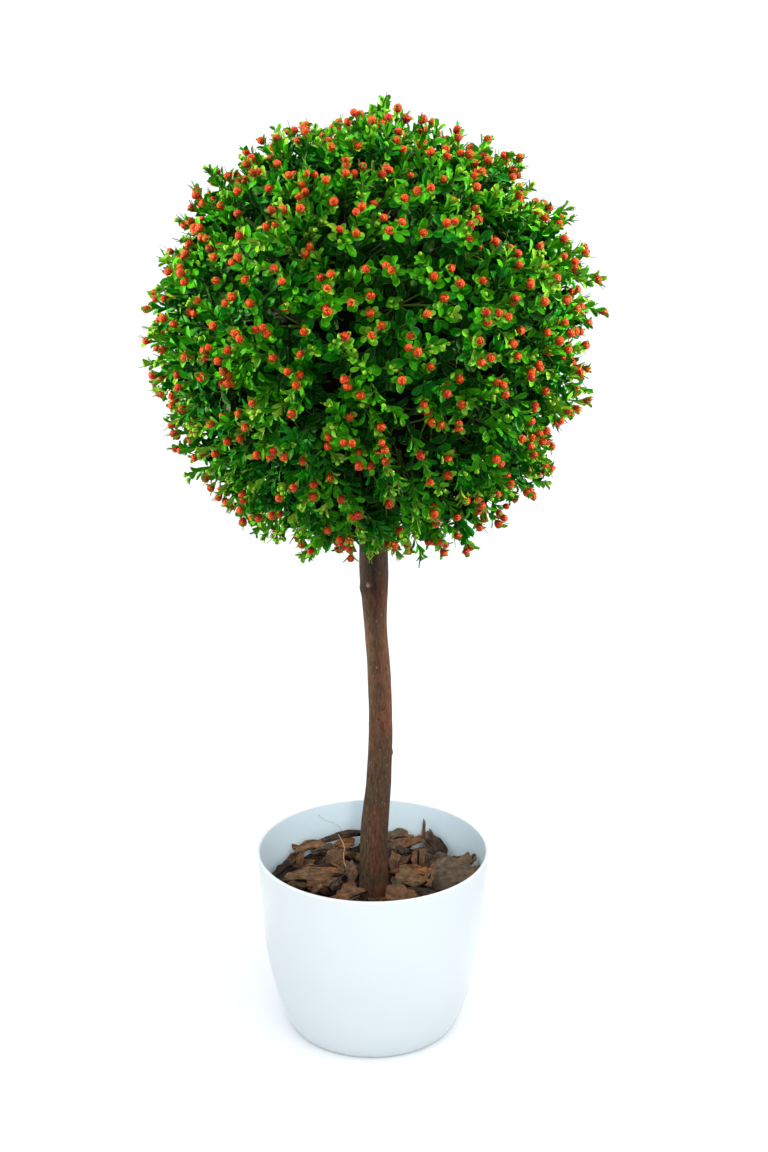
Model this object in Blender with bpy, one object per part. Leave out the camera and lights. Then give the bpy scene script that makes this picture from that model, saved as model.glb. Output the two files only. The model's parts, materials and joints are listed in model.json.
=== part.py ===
"""Artificial ball topiary: a clipped ball of boxwood sprays with red berries, on a trunk of natural wood
that stands in a round planter. Cement weights the planter, and bark chips cover it.

Units are metres and +Z is up. The origin is the middle of the planter's flat underside.
"""

import math
import random

import bmesh
import bpy
from mathutils import Matrix, Vector
from mathutils.bvhtree import BVHTree

# Clearance between two pieces that touch
GAP = 0.0003

# Planter: a turned plastic bowl whose side runs up almost straight to a small rounded lip
POT_HEIGHT = 0.207
POT_RIM_RADIUS = 0.125
POT_FOOT_RADIUS = 0.0862
POT_FLAT_RADIUS = 0.0835
POT_SHOULDER_HEIGHT = 0.132
POT_SIDE_SLOPE = 0.068
POT_BOWL_POWER = 1.5
POT_WALL = 0.003
POT_FLOOR = 0.004
LIP_BULGE = 0.0008
LIP_DEPTH = 0.012
POT_SIDES = 36

# Cement plug that holds the trunk, and the bark bed on it
CEMENT_TOP = 0.112
TRUNK_FOOT = 0.045
BED_TOP = 0.154

# Heights of the rings that shape the bowl; the cement and the bark follow the same ones
BOWL_RINGS = (0.002, 0.008, 0.020, 0.045, 0.080, CEMENT_TOP)
FLOOR_EDGE_HEIGHT = 0.012
FLOOR_EDGE_INSET = 0.008

# Trunk: height of each station, its shift to the right and to the back, and its diameter there
TRUNK_STATIONS = (
    (0.045, 0.0008, 0.0000, 0.0300),
    (0.165, 0.0012, 0.0000, 0.0318),
    (0.225, 0.0017, 0.0010, 0.0304),
    (0.285, 0.0064, 0.0022, 0.0274),
    (0.350, 0.0086, 0.0020, 0.0256),
    (0.415, 0.0067, 0.0008, 0.0254),
    (0.475, 0.0031, 0.0000, 0.0250),
    (0.525, 0.0017, 0.0004, 0.0306),
    (0.600, 0.0010, 0.0006, 0.0270),
    (0.779, 0.0000, 0.0000, 0.0230),
)
TRUNK_RING_STEP = 0.030
TRUNK_SIDES = 12

# Crown: a clipped ball of sprays that stand out of a dense core, made as an upper and a lower half
CROWN_HEIGHT = 0.779
CORE_RADIUS = 0.187
CORE_UNEVENNESS = 0.007
CORE_SUBDIVISIONS = 3
CROWN_REACH = (0.230, 0.243)
CROWN_SEED = 11
SPRAY_COUNT = 74
SPRAY_NUDGE = 0.10
EQUATOR_MARGIN = 0.05
ROOT_DEPTH = 0.012
STEM_RADIUS = (0.0024, 0.0014)
BERRY_DROP = 0.0075
TRUNK_CLEARANCE = 0.006
BERRY_RADIUS = 0.0065
BERRY_CHANCE = 0.45

# Leaves: length, then share of the stem and splay from it in radians for each pair
LEAF_LENGTH = (0.046, 0.054)
LEAF_WIDTH_SHARE = 0.58
LEAF_THICKNESS = 0.0022
LEAF_RIB_SHARE = 0.32
LEAF_CUP = 0.10
LEAF_BEND = 0.16
LEAF_TRIES = 5
LEAF_ROOT_SHARE = 0.25
LEAF_PAIRS = ((0.46, 1.25), (0.76, 0.85))
LEAF_STAGGER = 0.05
SIDE_TWIG_RADIUS = (0.0018, 0.0012)
SIDE_TWIG_LEAN = (0.80, 1.10)
SIDE_TWIG_REACH = 0.038
SIDE_TWIG_FORK = 0.40
SIDE_LEAF_SPLAY = 0.75

# Bark chips: middle, heading, rise and roll in degrees, then length, width, thickness and bow upwards
CHIP_SEED = 5
MAIN_CHIPS = {
    "back strip": (-0.046, 0.080, 0.170, 10, 8, 18, 0.080, 0.014, 0.012, 0.009),
    "left slab": (-0.062, 0.016, 0.163, -4, 0, 26, 0.068, 0.034, 0.008, 0.004),
    "right plate": (0.082, 0.022, 0.167, -14, 14, 36, 0.052, 0.044, 0.006, 0.003),
    "upright flake": (0.066, 0.076, 0.167, 40, 50, 0, 0.034, 0.022, 0.005, 0.002),
    "striped chip": (0.048, 0.012, 0.161, -6, 4, 24, 0.040, 0.026, 0.008, 0.004),
    "round chip": (0.030, 0.090, 0.166, 10, 4, 20, 0.028, 0.024, 0.010, 0.004),
    "front chip left": (-0.028, -0.038, 0.159, -6, 0, 14, 0.046, 0.026, 0.008, 0.003),
    "front chip right": (0.030, -0.038, 0.158, 8, 0, 14, 0.042, 0.026, 0.008, 0.003),
    "orange chip": (-0.042, 0.055, 0.164, 40, 24, 10, 0.034, 0.024, 0.007, 0.003),
    "brown strip": (0.040, 0.072, 0.166, 14, 16, 20, 0.044, 0.016, 0.008, 0.003),
}
FILLER_RINGS = ((0.060, 7), (0.093, 10))
FILLER_HEIGHT = (0.154, 0.160)
FILLER_LENGTH = (0.034, 0.048)
FILLER_WIDTH = (0.020, 0.030)
FILLER_THICKNESS = 0.008
CHIP_TRUNK_CLEARANCE = 0.003
CHIP_WALL_CLEARANCE = 0.001


def clear_scene():
    for thing in list(bpy.data.objects):
        bpy.data.objects.remove(thing)


def linear(channel):
    return channel / 12.92 if channel <= 0.04045 else ((channel + 0.055) / 1.055) ** 2.4


def finish(name, srgb, roughness):
    """A plain Principled finish, with its colour given as sRGB hex."""
    material = bpy.data.materials.new(name)
    material.use_nodes = True
    colour = [linear(int(srgb[i : i + 2], 16) / 255) for i in (1, 3, 5)]
    shader = material.node_tree.nodes["Principled BSDF"]
    shader.inputs["Base Color"].default_value = (*colour, 1)
    shader.inputs["Roughness"].default_value = roughness
    shader.inputs["Metallic"].default_value = 0
    return material


def place(name, mesh, material, sharp_angle=None):
    """Puts a mesh into the scene as a named object; a sharp angle shades it smooth up to that angle."""
    piece = bpy.data.objects.new(name, mesh)
    bpy.context.scene.collection.objects.link(piece)
    if material:
        mesh.materials.clear()
        mesh.materials.append(material)
    if sharp_angle:
        mesh.shade_smooth()
        mesh.set_sharp_from_angle(angle=math.radians(sharp_angle))
    return piece


def mesh_of(name, points, faces):
    mesh = bpy.data.meshes.new(name)
    mesh.from_pydata([tuple(point) for point in points], [], faces)
    mesh.update()
    return mesh


def loft(name, rings):
    """A closed mesh through rings of equally many points, with a flat cap on the first and the last."""
    sides = len(rings[0])
    points = [point for ring in rings for point in ring]
    faces = [tuple(reversed(range(sides)))]
    for row in range(len(rings) - 1):
        for side in range(sides):
            nearer = row * sides + side
            farther = row * sides + (side + 1) % sides
            faces.append((nearer, farther, farther + sides, nearer + sides))
    faces.append(tuple(range(len(points) - sides, len(points))))
    return mesh_of(name, points, faces)


def turned(name, profile, sides):
    """A solid of revolution about Z from rising (radius, height) points, with a flat disc at each end."""
    angles = [2 * math.pi * side / sides for side in range(sides)]
    rings = []
    for radius, height in profile:
        rings.append([(radius * math.cos(a), radius * math.sin(a), height) for a in angles])
    return loft(name, rings)


def combine(piece, operation, other):
    """Applies a Boolean with one object or a collection, and then removes what it took."""
    boolean = piece.modifiers.new("Join", "BOOLEAN")
    boolean.operation = operation
    boolean.solver = "EXACT"
    if isinstance(other, bpy.types.Collection):
        boolean.operand_type = "COLLECTION"
        boolean.collection = other
        used = list(other.objects)
    else:
        boolean.object = other
        used = [other]
    result = piece.evaluated_get(bpy.context.evaluated_depsgraph_get())
    mesh = bpy.data.meshes.new_from_object(result)
    piece.modifiers.clear()
    piece.data = mesh
    for thing in used:
        bpy.data.objects.remove(thing)
    if isinstance(other, bpy.types.Collection):
        bpy.data.collections.remove(other)


def keep_main_body(mesh):
    """Drops loose scraps and sealed hollows: all that isn't joined to the body with the most points."""
    work = bmesh.new()
    work.from_mesh(mesh)
    unseen = set(work.verts)
    bodies = []
    while unseen:
        body = {unseen.pop()}
        edge_of_body = list(body)
        while edge_of_body:
            point = edge_of_body.pop()
            for edge in point.link_edges:
                neighbour = edge.other_vert(point)
                if neighbour in unseen:
                    unseen.remove(neighbour)
                    body.add(neighbour)
                    edge_of_body.append(neighbour)
        bodies.append(body)
    main = max(bodies, key=len)
    loose = [point for point in work.verts if point not in main]
    bmesh.ops.delete(work, geom=loose, context="VERTS")
    work.to_mesh(mesh)
    work.free()


def pot_radius(height):
    """The planter's outer radius: a rounded bowl up to the shoulder, then a nearly straight side."""
    shoulder = POT_RIM_RADIUS - POT_SIDE_SLOPE * (POT_HEIGHT - POT_SHOULDER_HEIGHT)
    if height >= POT_SHOULDER_HEIGHT:
        return shoulder + POT_SIDE_SLOPE * (height - POT_SHOULDER_HEIGHT)
    down = 1 - height / POT_SHOULDER_HEIGHT
    rise = (1 - down**POT_BOWL_POWER) ** (1 / POT_BOWL_POWER)
    return POT_FOOT_RADIUS + (shoulder - POT_FOOT_RADIUS) * rise


def inner_radius(height):
    return pot_radius(height) - POT_WALL


def make_pot(material):
    bowl = [*BOWL_RINGS, POT_SHOULDER_HEIGHT]
    outer = [(POT_FLAT_RADIUS, 0)] + [(pot_radius(height), height) for height in bowl]
    lip_foot = POT_HEIGHT - LIP_DEPTH
    outer.append((pot_radius(lip_foot), lip_foot))
    outer.append((pot_radius(POT_HEIGHT) + LIP_BULGE, POT_HEIGHT - 0.35 * LIP_DEPTH))
    outer.append((POT_RIM_RADIUS + 0.4 * LIP_BULGE, POT_HEIGHT - 0.0008))
    outer.append((POT_RIM_RADIUS - 0.5 * POT_WALL, POT_HEIGHT))
    inner = [(POT_RIM_RADIUS - POT_WALL, POT_HEIGHT - 0.0010)]
    inner += [(inner_radius(height), height) for height in reversed(bowl[2:])]
    inner.append((inner_radius(FLOOR_EDGE_HEIGHT), FLOOR_EDGE_HEIGHT))
    inner.append((inner_radius(FLOOR_EDGE_HEIGHT) - FLOOR_EDGE_INSET, POT_FLOOR))
    mesh = turned("pot", outer + inner, POT_SIDES)
    return place("pot", mesh, material, sharp_angle=50)


def trunk_at(height):
    """The trunk's middle and radius at a height, on a smooth curve through its stations."""
    height = min(max(height, TRUNK_STATIONS[0][0]), TRUNK_STATIONS[-1][0])
    last = len(TRUNK_STATIONS) - 1
    index = max(i for i in range(last) if TRUNK_STATIONS[i][0] <= height)
    before, here = TRUNK_STATIONS[max(index - 1, 0)], TRUNK_STATIONS[index]
    there, after = TRUNK_STATIONS[index + 1], TRUNK_STATIONS[min(index + 2, last)]
    span = there[0] - here[0]
    t = (height - here[0]) / span
    values = []
    for part in (1, 2, 3):
        leave = (there[part] - before[part]) / (there[0] - before[0]) * span
        arrive = (after[part] - here[part]) / (after[0] - here[0]) * span
        value = (2 * t**3 - 3 * t**2 + 1) * here[part] + (t**3 - 2 * t**2 + t) * leave
        value += (3 * t**2 - 2 * t**3) * there[part] + (t**3 - t**2) * arrive
        values.append(value)
    return Vector((values[0], values[1], height)), values[2] / 2


def trunk_mesh(name, foot, top, grow):
    """The trunk between two heights, thicker all round by grow; its rings stay at the same heights."""
    heights = [foot]
    height = TRUNK_FOOT + TRUNK_RING_STEP
    while height < top - TRUNK_RING_STEP / 2:
        if height > foot:
            heights.append(height)
        height += TRUNK_RING_STEP
    heights.append(top)
    rings = []
    for height in heights:
        middle, radius = trunk_at(height)
        ring = []
        for side in range(TRUNK_SIDES):
            angle = 2 * math.pi * side / TRUNK_SIDES
            out = Vector((math.cos(angle), math.sin(angle), 0)) * (radius + grow)
            ring.append(Vector((middle.x, middle.y, height)) + out)
        rings.append(ring)
    return loft(name, rings)


def trunk_cutter():
    """What every piece round the trunk is cut with: the trunk and its clearance."""
    mesh = trunk_mesh("trunk cutter", TRUNK_FOOT - GAP, CROWN_HEIGHT + TRUNK_RING_STEP, GAP)
    cutter = place("trunk cutter", mesh, None)
    cutter.hide_render = True
    cutter.display_type = "WIRE"
    return cutter


def make_cement(material):
    profile = [(inner_radius(FLOOR_EDGE_HEIGHT) - FLOOR_EDGE_INSET - 2 * GAP, POT_FLOOR + GAP)]
    for height in (FLOOR_EDGE_HEIGHT, *BOWL_RINGS[2:]):
        profile.append((inner_radius(height) - 2 * GAP, height))
    plug = place("cement_plug", turned("cement_plug", profile, POT_SIDES), material)
    combine(plug, "DIFFERENCE", trunk_cutter())
    plug.data.set_sharp_from_angle(angle=math.radians(50))
    return plug


def chip_mesh(place_of_chip, rng):
    """A flake of bark: a bowed plate of uneven outline, three points long and two wide."""
    x, y, z, heading, rise, roll, length, width, thickness, bow = place_of_chip
    frame = Matrix.Translation((x, y, z)) @ Matrix.Rotation(math.radians(heading), 4, "Z")
    frame = frame @ Matrix.Rotation(math.radians(-rise), 4, "Y")
    frame = frame @ Matrix.Rotation(math.radians(roll), 4, "X")
    top = []
    for along in (-0.5, 0, 0.5):
        for across in (-0.5, 0.5):
            narrowing = 1 if along == 0 else rng.uniform(0.55, 0.9)
            stretch = rng.uniform(0.85, 1.0)
            height = bow * (1 - 4 * along**2)
            top.append(frame @ Vector((length * along * stretch, width * across * narrowing, height)))
    down = frame.to_3x3() @ Vector((0, 0, -thickness))
    points = top + [point + down for point in top]
    rim = (0, 2, 4, 5, 3, 1)
    faces = [(0, 2, 3), (0, 3, 1), (2, 4, 5), (2, 5, 3)]
    faces += [(9, 8, 6), (7, 9, 6), (11, 10, 8), (9, 11, 8)]
    for here, there in zip(rim, rim[1:] + rim[:1]):
        faces += [(there, here, here + 6), (there, here + 6, there + 6)]
    return mesh_of("chip", points, faces)


def chip_fits(mesh):
    """Whether a chip keeps off the planter's wall and the trunk."""
    for point in mesh.vertices:
        middle, radius = trunk_at(point.co.z)
        from_trunk = math.hypot(point.co.x - middle.x, point.co.y - middle.y)
        if from_trunk < radius + CHIP_TRUNK_CLEARANCE:
            return False
        if math.hypot(point.co.x, point.co.y) > inner_radius(point.co.z) - CHIP_WALL_CLEARANCE:
            return False
    return True


def filler_chips(rng):
    """Smaller chips in rings between the trunk and the wall, each nudged and turned at random."""
    for ring_radius, count in FILLER_RINGS:
        for number in range(count):
            around = 2 * math.pi * (number + rng.uniform(-0.3, 0.3)) / count
            radius = ring_radius + rng.uniform(-0.005, 0.005)
            yield (
                radius * math.cos(around),
                radius * math.sin(around),
                rng.uniform(*FILLER_HEIGHT),
                rng.uniform(0, 180),
                rng.uniform(-16, 16),
                rng.uniform(-22, 22),
                rng.uniform(*FILLER_LENGTH),
                rng.uniform(*FILLER_WIDTH),
                FILLER_THICKNESS,
                rng.uniform(0, 0.004),
            )


def make_bark_bed(material):
    """The layer of bark on the cement, with the chips that lie on it fused in."""
    rng = random.Random(CHIP_SEED)
    heights = [CEMENT_TOP + GAP, POT_SHOULDER_HEIGHT, BED_TOP]
    profile = [(inner_radius(height) - 2 * GAP, height) for height in heights]
    bed = place("bark_bed", turned("bark_bed", profile, POT_SIDES), material)
    chips = bpy.data.collections.new("chips")
    bpy.context.scene.collection.children.link(chips)
    for chip_place in [*MAIN_CHIPS.values(), *filler_chips(rng)]:
        mesh = chip_mesh(chip_place, rng)
        if chip_fits(mesh):
            chips.objects.link(bpy.data.objects.new("chip", mesh))
    combine(bed, "UNION", chips)
    combine(bed, "DIFFERENCE", trunk_cutter())
    keep_main_body(bed.data)
    return bed


def make_trunk(material):
    mesh = trunk_mesh("trunk", TRUNK_FOOT, CROWN_HEIGHT - GAP, 0)
    return place("trunk", mesh, material, sharp_angle=60)


def sprays():
    """Each spray's direction, reach and turn, even over the ball by the golden angle and then nudged."""
    rng = random.Random(CROWN_SEED)
    golden_angle = math.pi * (3 - math.sqrt(5))
    found = []
    for number in range(SPRAY_COUNT):
        level = 1 - (2 * number + 1) / SPRAY_COUNT
        level = math.copysign(EQUATOR_MARGIN + (1 - EQUATOR_MARGIN) * abs(level), level)
        around = number * golden_angle + rng.uniform(-SPRAY_NUDGE, SPRAY_NUDGE)
        across = math.sqrt(1 - level**2)
        direction = Vector((across * math.cos(around), across * math.sin(around), level))
        reach = rng.uniform(*CROWN_REACH)
        turn = rng.uniform(0, 2 * math.pi)
        found.append((direction, reach, turn))
    return found


def twig(start, end, radii):
    """A tapering twig with three sides."""
    frame = (end - start).to_track_quat("Z", "Y")
    points = []
    for middle, radius in ((start, radii[0]), (end, radii[1])):
        for corner in range(3):
            angle = corner * 2 * math.pi / 3
            points.append(middle + frame @ Vector((radius * math.cos(angle), radius * math.sin(angle), 0)))
    faces = [(2, 1, 0), (3, 4, 5), (0, 1, 4, 3), (1, 2, 5, 4), (2, 0, 3, 5)]
    return points, faces


def leaf(root, along, up, length):
    """A cupped oval leaf: a rim of four points, with its rib's upper and lower side between them."""
    across = up.cross(along).normalized()
    up = along.cross(across)
    half_width = across * LEAF_WIDTH_SHARE * length / 2
    rib = root + along * LEAF_RIB_SHARE * length
    wide = root + along * 0.58 * length + up * LEAF_CUP * length
    tip = root + along * length
    points = [root, wide + half_width, tip, wide - half_width, rib, rib - up * LEAF_THICKNESS]
    faces = [(4, 1, 0), (4, 2, 1), (4, 3, 2), (4, 0, 3), (5, 0, 1), (5, 1, 2), (5, 2, 3), (5, 3, 0)]
    return points, faces


def berry(middle):
    """A round berry with twenty faces."""
    work = bmesh.new()
    bmesh.ops.create_icosphere(work, subdivisions=1, radius=BERRY_RADIUS)
    points = [middle + point.co for point in work.verts]
    faces = [tuple(point.index for point in face.verts) for face in work.faces]
    work.free()
    return points, faces


def fits(points, half):
    """Whether every point keeps to its half of the ball, within the reach and clear of the trunk."""
    for point in points:
        out = point - Vector((0, 0, CROWN_HEIGHT))
        if out.length > CROWN_REACH[1] or half * out.z < 2 * GAP:
            return False
        middle, radius = trunk_at(point.z)
        if half < 0 and math.hypot(point.x - middle.x, point.y - middle.y) < radius + TRUNK_CLEARANCE:
            return False
    return True


def clear_of_core(points):
    core = CORE_RADIUS + CORE_UNEVENNESS
    return all((point - Vector((0, 0, CROWN_HEIGHT))).length > core for point in points)


def leaf_on(root, twig_way, side, splay, length, half, leaves):
    """A leaf at a twig's side, face outwards, bent down a few times to fit its space or else left out."""
    outwards = (root - Vector((0, 0, CROWN_HEIGHT))).normalized()
    for bend in range(LEAF_TRIES):
        angle = splay + bend * LEAF_BEND
        along = twig_way * math.cos(angle) + side * math.sin(angle)
        made = leaf(root, along, outwards, length)
        blade_root = root + along * LEAF_ROOT_SHARE * length
        blade = leaf(blade_root, along, outwards, (1 - LEAF_ROOT_SHARE) * length)
        surface = BVHTree.FromPolygons(*blade)
        clear = all(not surface.overlap(other) for other in leaves)
        if clear and clear_of_core(made[0][1:]) and fits(made[0][1:], half):
            leaves.append(surface)
            return [made]
    return []


def spray_shapes(direction, reach, turn, rng, leaves):
    """One spray: a stem out of the core, a side twig, pairs of leaves, and a berry on some tips."""
    half = math.copysign(1, direction.z)
    centre = Vector((0, 0, CROWN_HEIGHT))
    frame = direction.to_track_quat("Z", "Y")
    root = centre + direction * (CORE_RADIUS - ROOT_DEPTH)
    tip = centre + direction * (reach - 1.5 * BERRY_DROP)
    stem = twig(root, tip, STEM_RADIUS)
    if not fits(stem[0], half):
        return []
    shapes = [stem]
    if rng.random() < BERRY_CHANCE:
        fruit = berry(centre + direction * (reach - BERRY_DROP))
        if fits(fruit[0], half):
            shapes.append(fruit)
    for share, splay in LEAF_PAIRS:
        for number in range(2):
            angle = turn + (number + share) * math.pi + rng.uniform(-0.3, 0.3)
            side = frame @ Vector((math.cos(angle), math.sin(angle), 0))
            leaf_root = root.lerp(tip, share + number * LEAF_STAGGER)
            length = rng.uniform(*LEAF_LENGTH)
            shapes += leaf_on(leaf_root, direction, side, splay, length, half, leaves)
    fork = root.lerp(tip, SIDE_TWIG_FORK)
    side = frame @ Vector((math.cos(turn), math.sin(turn), 0))
    lean = rng.uniform(*SIDE_TWIG_LEAN)
    side_way = direction * math.cos(lean) + side * math.sin(lean)
    side_tip = fork + side_way * SIDE_TWIG_REACH
    side_twig = twig(fork, side_tip, SIDE_TWIG_RADIUS)
    if fits(side_twig[0], half):
        shapes.append(side_twig)
        across = direction.cross(side)
        for way in (across, -across):
            length = rng.uniform(*LEAF_LENGTH)
            leaf_root = fork.lerp(side_tip, 0.9)
            shapes += leaf_on(leaf_root, side_way, way, SIDE_LEAF_SPLAY, length, half, leaves)
    return shapes


def half_core(half):
    """Half of the core ball, cut flat where the other half meets it."""
    rng = random.Random(CROWN_SEED)
    work = bmesh.new()
    bmesh.ops.create_icosphere(work, subdivisions=CORE_SUBDIVISIONS, radius=CORE_RADIUS)
    for point in work.verts:
        point.co *= 1 + rng.uniform(-1, 1) * CORE_UNEVENNESS / CORE_RADIUS
    bmesh.ops.translate(work, verts=work.verts, vec=(0, 0, CROWN_HEIGHT))
    cut = bmesh.ops.bisect_plane(
        work,
        geom=work.verts[:] + work.edges[:] + work.faces[:],
        dist=1e-6,
        plane_co=(0, 0, CROWN_HEIGHT + half * GAP / 2),
        plane_no=(0, 0, -half),
        clear_outer=True,
    )
    edges = [thing for thing in cut["geom_cut"] if isinstance(thing, bmesh.types.BMEdge)]
    bmesh.ops.contextual_create(work, geom=edges)
    bmesh.ops.recalc_face_normals(work, faces=work.faces)
    mesh = bpy.data.meshes.new("core")
    work.to_mesh(mesh)
    work.free()
    return mesh


def make_crown_half(name, half, material):
    """Half of the crown: its core, with the sprays that stand out of it fused on."""
    rng = random.Random(CROWN_SEED + int(half))
    crown = place(name, half_core(half), material)
    shapes = bpy.data.collections.new("sprays")
    bpy.context.scene.collection.children.link(shapes)
    leaves = []
    for direction, reach, turn in sprays():
        if half * direction.z > 0:
            for points, faces in spray_shapes(direction, reach, turn, rng, leaves):
                shapes.objects.link(bpy.data.objects.new("spray", mesh_of("spray", points, faces)))
    combine(crown, "UNION", shapes)
    if half < 0:
        combine(crown, "DIFFERENCE", trunk_cutter())
    keep_main_body(crown.data)
    return crown


def main():
    clear_scene()
    make_pot(finish("White moulded plastic", "#eaf3f7", 0.35))
    make_cement(finish("Cement", "#8f8c86", 0.9))
    make_bark_bed(finish("Bark chips", "#7a5340", 0.9))
    make_trunk(finish("Natural wood", "#4d3a2d", 0.85))
    leaves = finish("Boxwood green", "#2f7d1d", 0.45)
    make_crown_half("foliage_upper", 1, leaves)
    make_crown_half("foliage_lower", -1, leaves)


main()
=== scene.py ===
"""The looks of an artificial ball topiary: foliage with berries on a wood stem, in a round planter."""

import json
import math
import random
from functools import partial

import bmesh
import bpy
from bpy.props import FloatProperty, FloatVectorProperty, IntProperty, PointerProperty
from mathutils import Matrix, Vector, noise

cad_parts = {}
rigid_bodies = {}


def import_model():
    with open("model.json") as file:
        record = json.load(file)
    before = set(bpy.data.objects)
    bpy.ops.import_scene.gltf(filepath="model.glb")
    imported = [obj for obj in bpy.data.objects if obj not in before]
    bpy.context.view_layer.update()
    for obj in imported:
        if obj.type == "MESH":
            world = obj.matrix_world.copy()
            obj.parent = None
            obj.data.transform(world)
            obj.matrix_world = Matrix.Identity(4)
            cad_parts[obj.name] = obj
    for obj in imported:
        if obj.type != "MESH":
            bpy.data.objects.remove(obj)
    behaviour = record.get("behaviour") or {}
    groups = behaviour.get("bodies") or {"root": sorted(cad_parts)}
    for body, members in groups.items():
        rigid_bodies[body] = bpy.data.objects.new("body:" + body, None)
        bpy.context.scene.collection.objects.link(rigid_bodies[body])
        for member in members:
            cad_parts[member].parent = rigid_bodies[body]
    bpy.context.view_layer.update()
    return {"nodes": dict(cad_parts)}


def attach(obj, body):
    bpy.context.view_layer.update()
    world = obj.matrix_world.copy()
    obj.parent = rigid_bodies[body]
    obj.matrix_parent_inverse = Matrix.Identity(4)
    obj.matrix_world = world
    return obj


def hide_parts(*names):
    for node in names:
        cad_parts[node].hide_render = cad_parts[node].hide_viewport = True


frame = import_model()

bl_info = {
    "name": "Ball topiary in a planter",
    "version": (1, 0, 0),
    "blender": (4, 5, 0),
    "location": "View3D > Sidebar > Topiary",
    "description": "Dresses the solids of a ball topiary with foliage, berries, bark and a moulded planter",
    "category": "Object",
}

# The part's own sizes, in metres
GAP = 0.0003
POT_HEIGHT = 0.207
POT_RIM_RADIUS = 0.125
POT_FOOT_RADIUS = 0.0862
POT_FLAT_RADIUS = 0.0835
POT_SHOULDER_HEIGHT = 0.132
POT_SIDE_SLOPE = 0.068
POT_BOWL_POWER = 1.5
POT_WALL = 0.003
POT_FLOOR = 0.004
RIM_DROP, RIM_RISE = 0.0012, 0.0011
CEMENT_TOP = 0.112
BED_TOP = 0.154
# The trunk's stations: height, its middle's X and Y, and its width
TRUNK_STATIONS = (
    (0.045, 0.0008, 0.0000, 0.0300),
    (0.165, 0.0012, 0.0000, 0.0318),
    (0.225, 0.0017, 0.0010, 0.0304),
    (0.285, 0.0064, 0.0022, 0.0274),
    (0.350, 0.0086, 0.0020, 0.0256),
    (0.415, 0.0067, 0.0008, 0.0254),
    (0.475, 0.0031, 0.0000, 0.0250),
    (0.525, 0.0017, 0.0004, 0.0306),
    (0.600, 0.0010, 0.0006, 0.0270),
    (0.779, 0.0000, 0.0000, 0.0230),
)
CROWN_HEIGHT = 0.779
CROWN_REACH = (0.230, 0.243)
CROWN_SEED = 11
SPRAY_COUNT = 74
SPRAY_NUDGE = 0.10
EQUATOR_MARGIN = 0.05

# The crown's finer growth
FRAME_RADIUS = 0.148
FRAME_WALL = 0.0025
FRAME_RIB = 0.0018
SHELL_STEPS, SHELL_SIDES, SHELL_POLE = 24, 48, 0.0001
STEM_END = 0.200
BERRY_DEPTH = 0.0065
BUD_WIDTH = 0.0040
STEM_RADII = (0.0022, 0.0013)
TWIG_RADII = (0.0011, 0.00055)
TIP_REACH = (0.2130, 0.2390, 0.2280)
TIP_LIMIT = 0.2385
TIP_SCATTER = 0.0062
TIP_SAG = 0.0035
SPRIG_COUNT = 330
SPRIG_GATHER = 0.14
SPRIG_DOME = 0.80
INNER_TWIGS = 460
LEAFY_LENGTH = 0.058
TIP_LEAN = 0.20
SPRIG_LEAN = 0.24
TRUNK_CLEARANCE = 0.004
INNER_CLEARANCE = 0.012
RIB_CLEARANCE = 0.008
LEAF_REACH = 0.016
# Shares of the berries that are red, and that have another beside them
RED_SHARE, TWIN_SHARE = 0.16, 0.10
GOLDEN_ANGLE = math.pi * (3 - math.sqrt(5))
# Just short of a full turn, in radians
ROUND = 6.28


def linear(colour):
    """A colour given as sRGB hex, as the linear values that shaders take."""
    channels = [int(colour[i : i + 2], 16) / 255 for i in (1, 3, 5)]
    return tuple(c / 12.92 if c <= 0.04045 else ((c + 0.055) / 1.055) ** 2.4 for c in channels)


def tint(name, description, colour):
    """A colour setting of the panel."""
    values = {"subtype": "COLOR", "size": 3, "min": 0, "max": 1, "default": linear(colour)}
    return FloatVectorProperty(name=name, description=description, **values)


def length(name, description, metres):
    """A length setting of the panel."""
    values = {"subtype": "DISTANCE", "unit": "LENGTH", "min": 0, "precision": 4, "default": metres}
    return FloatProperty(name=name, description=description, **values)


class PlanterSettings(bpy.types.PropertyGroup):
    """The moulded planter."""

    foot_recess: length("Foot recess", "How far the underside is set up inside its foot ring", 0.0010)
    segments: IntProperty(
        name="Segments", description="Faces around the planter", min=48, max=256, default=128
    )
    colour: tint("Colour", "The plastic's white", "#CBD2D5")
    shade: tint("Shade", "The slightly greyer white that mottles it", "#C7D0D4")
    rim: tint("Rim", "The rubbed white of the rim", "#E6EAEC")
    inside: tint("Inside", "The unworn white of the inside", "#E8FAFF")
    inside_shade: tint("Inside shade", "The slightly greyer white that mottles the inside", "#E4F6FF")
    cement: tint("Cement", "The dry cement under the bark", "#8F8C86")


class StemSettings(bpy.types.PropertyGroup):
    """The natural wood stem."""

    grain_depth: length("Grain depth", "Depth of the long cracks in the bark", 0.0005)
    grain_width: length("Grain width", "Distance between the cracks", 0.0036)
    dark: tint("Dark bark", "Colour in the cracks", "#30221A")
    brown: tint("Brown bark", "Main colour of the bark", "#4E3A2A")
    red: tint("Red bark", "Colour of the rubbed patches", "#663D2A")
    lichen: tint("Grey bark", "Colour of the weathered side", "#595744")
    pale: tint("Bare wood", "Colour of the flecks and of the broken side shoots", "#8E7A64")


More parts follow.
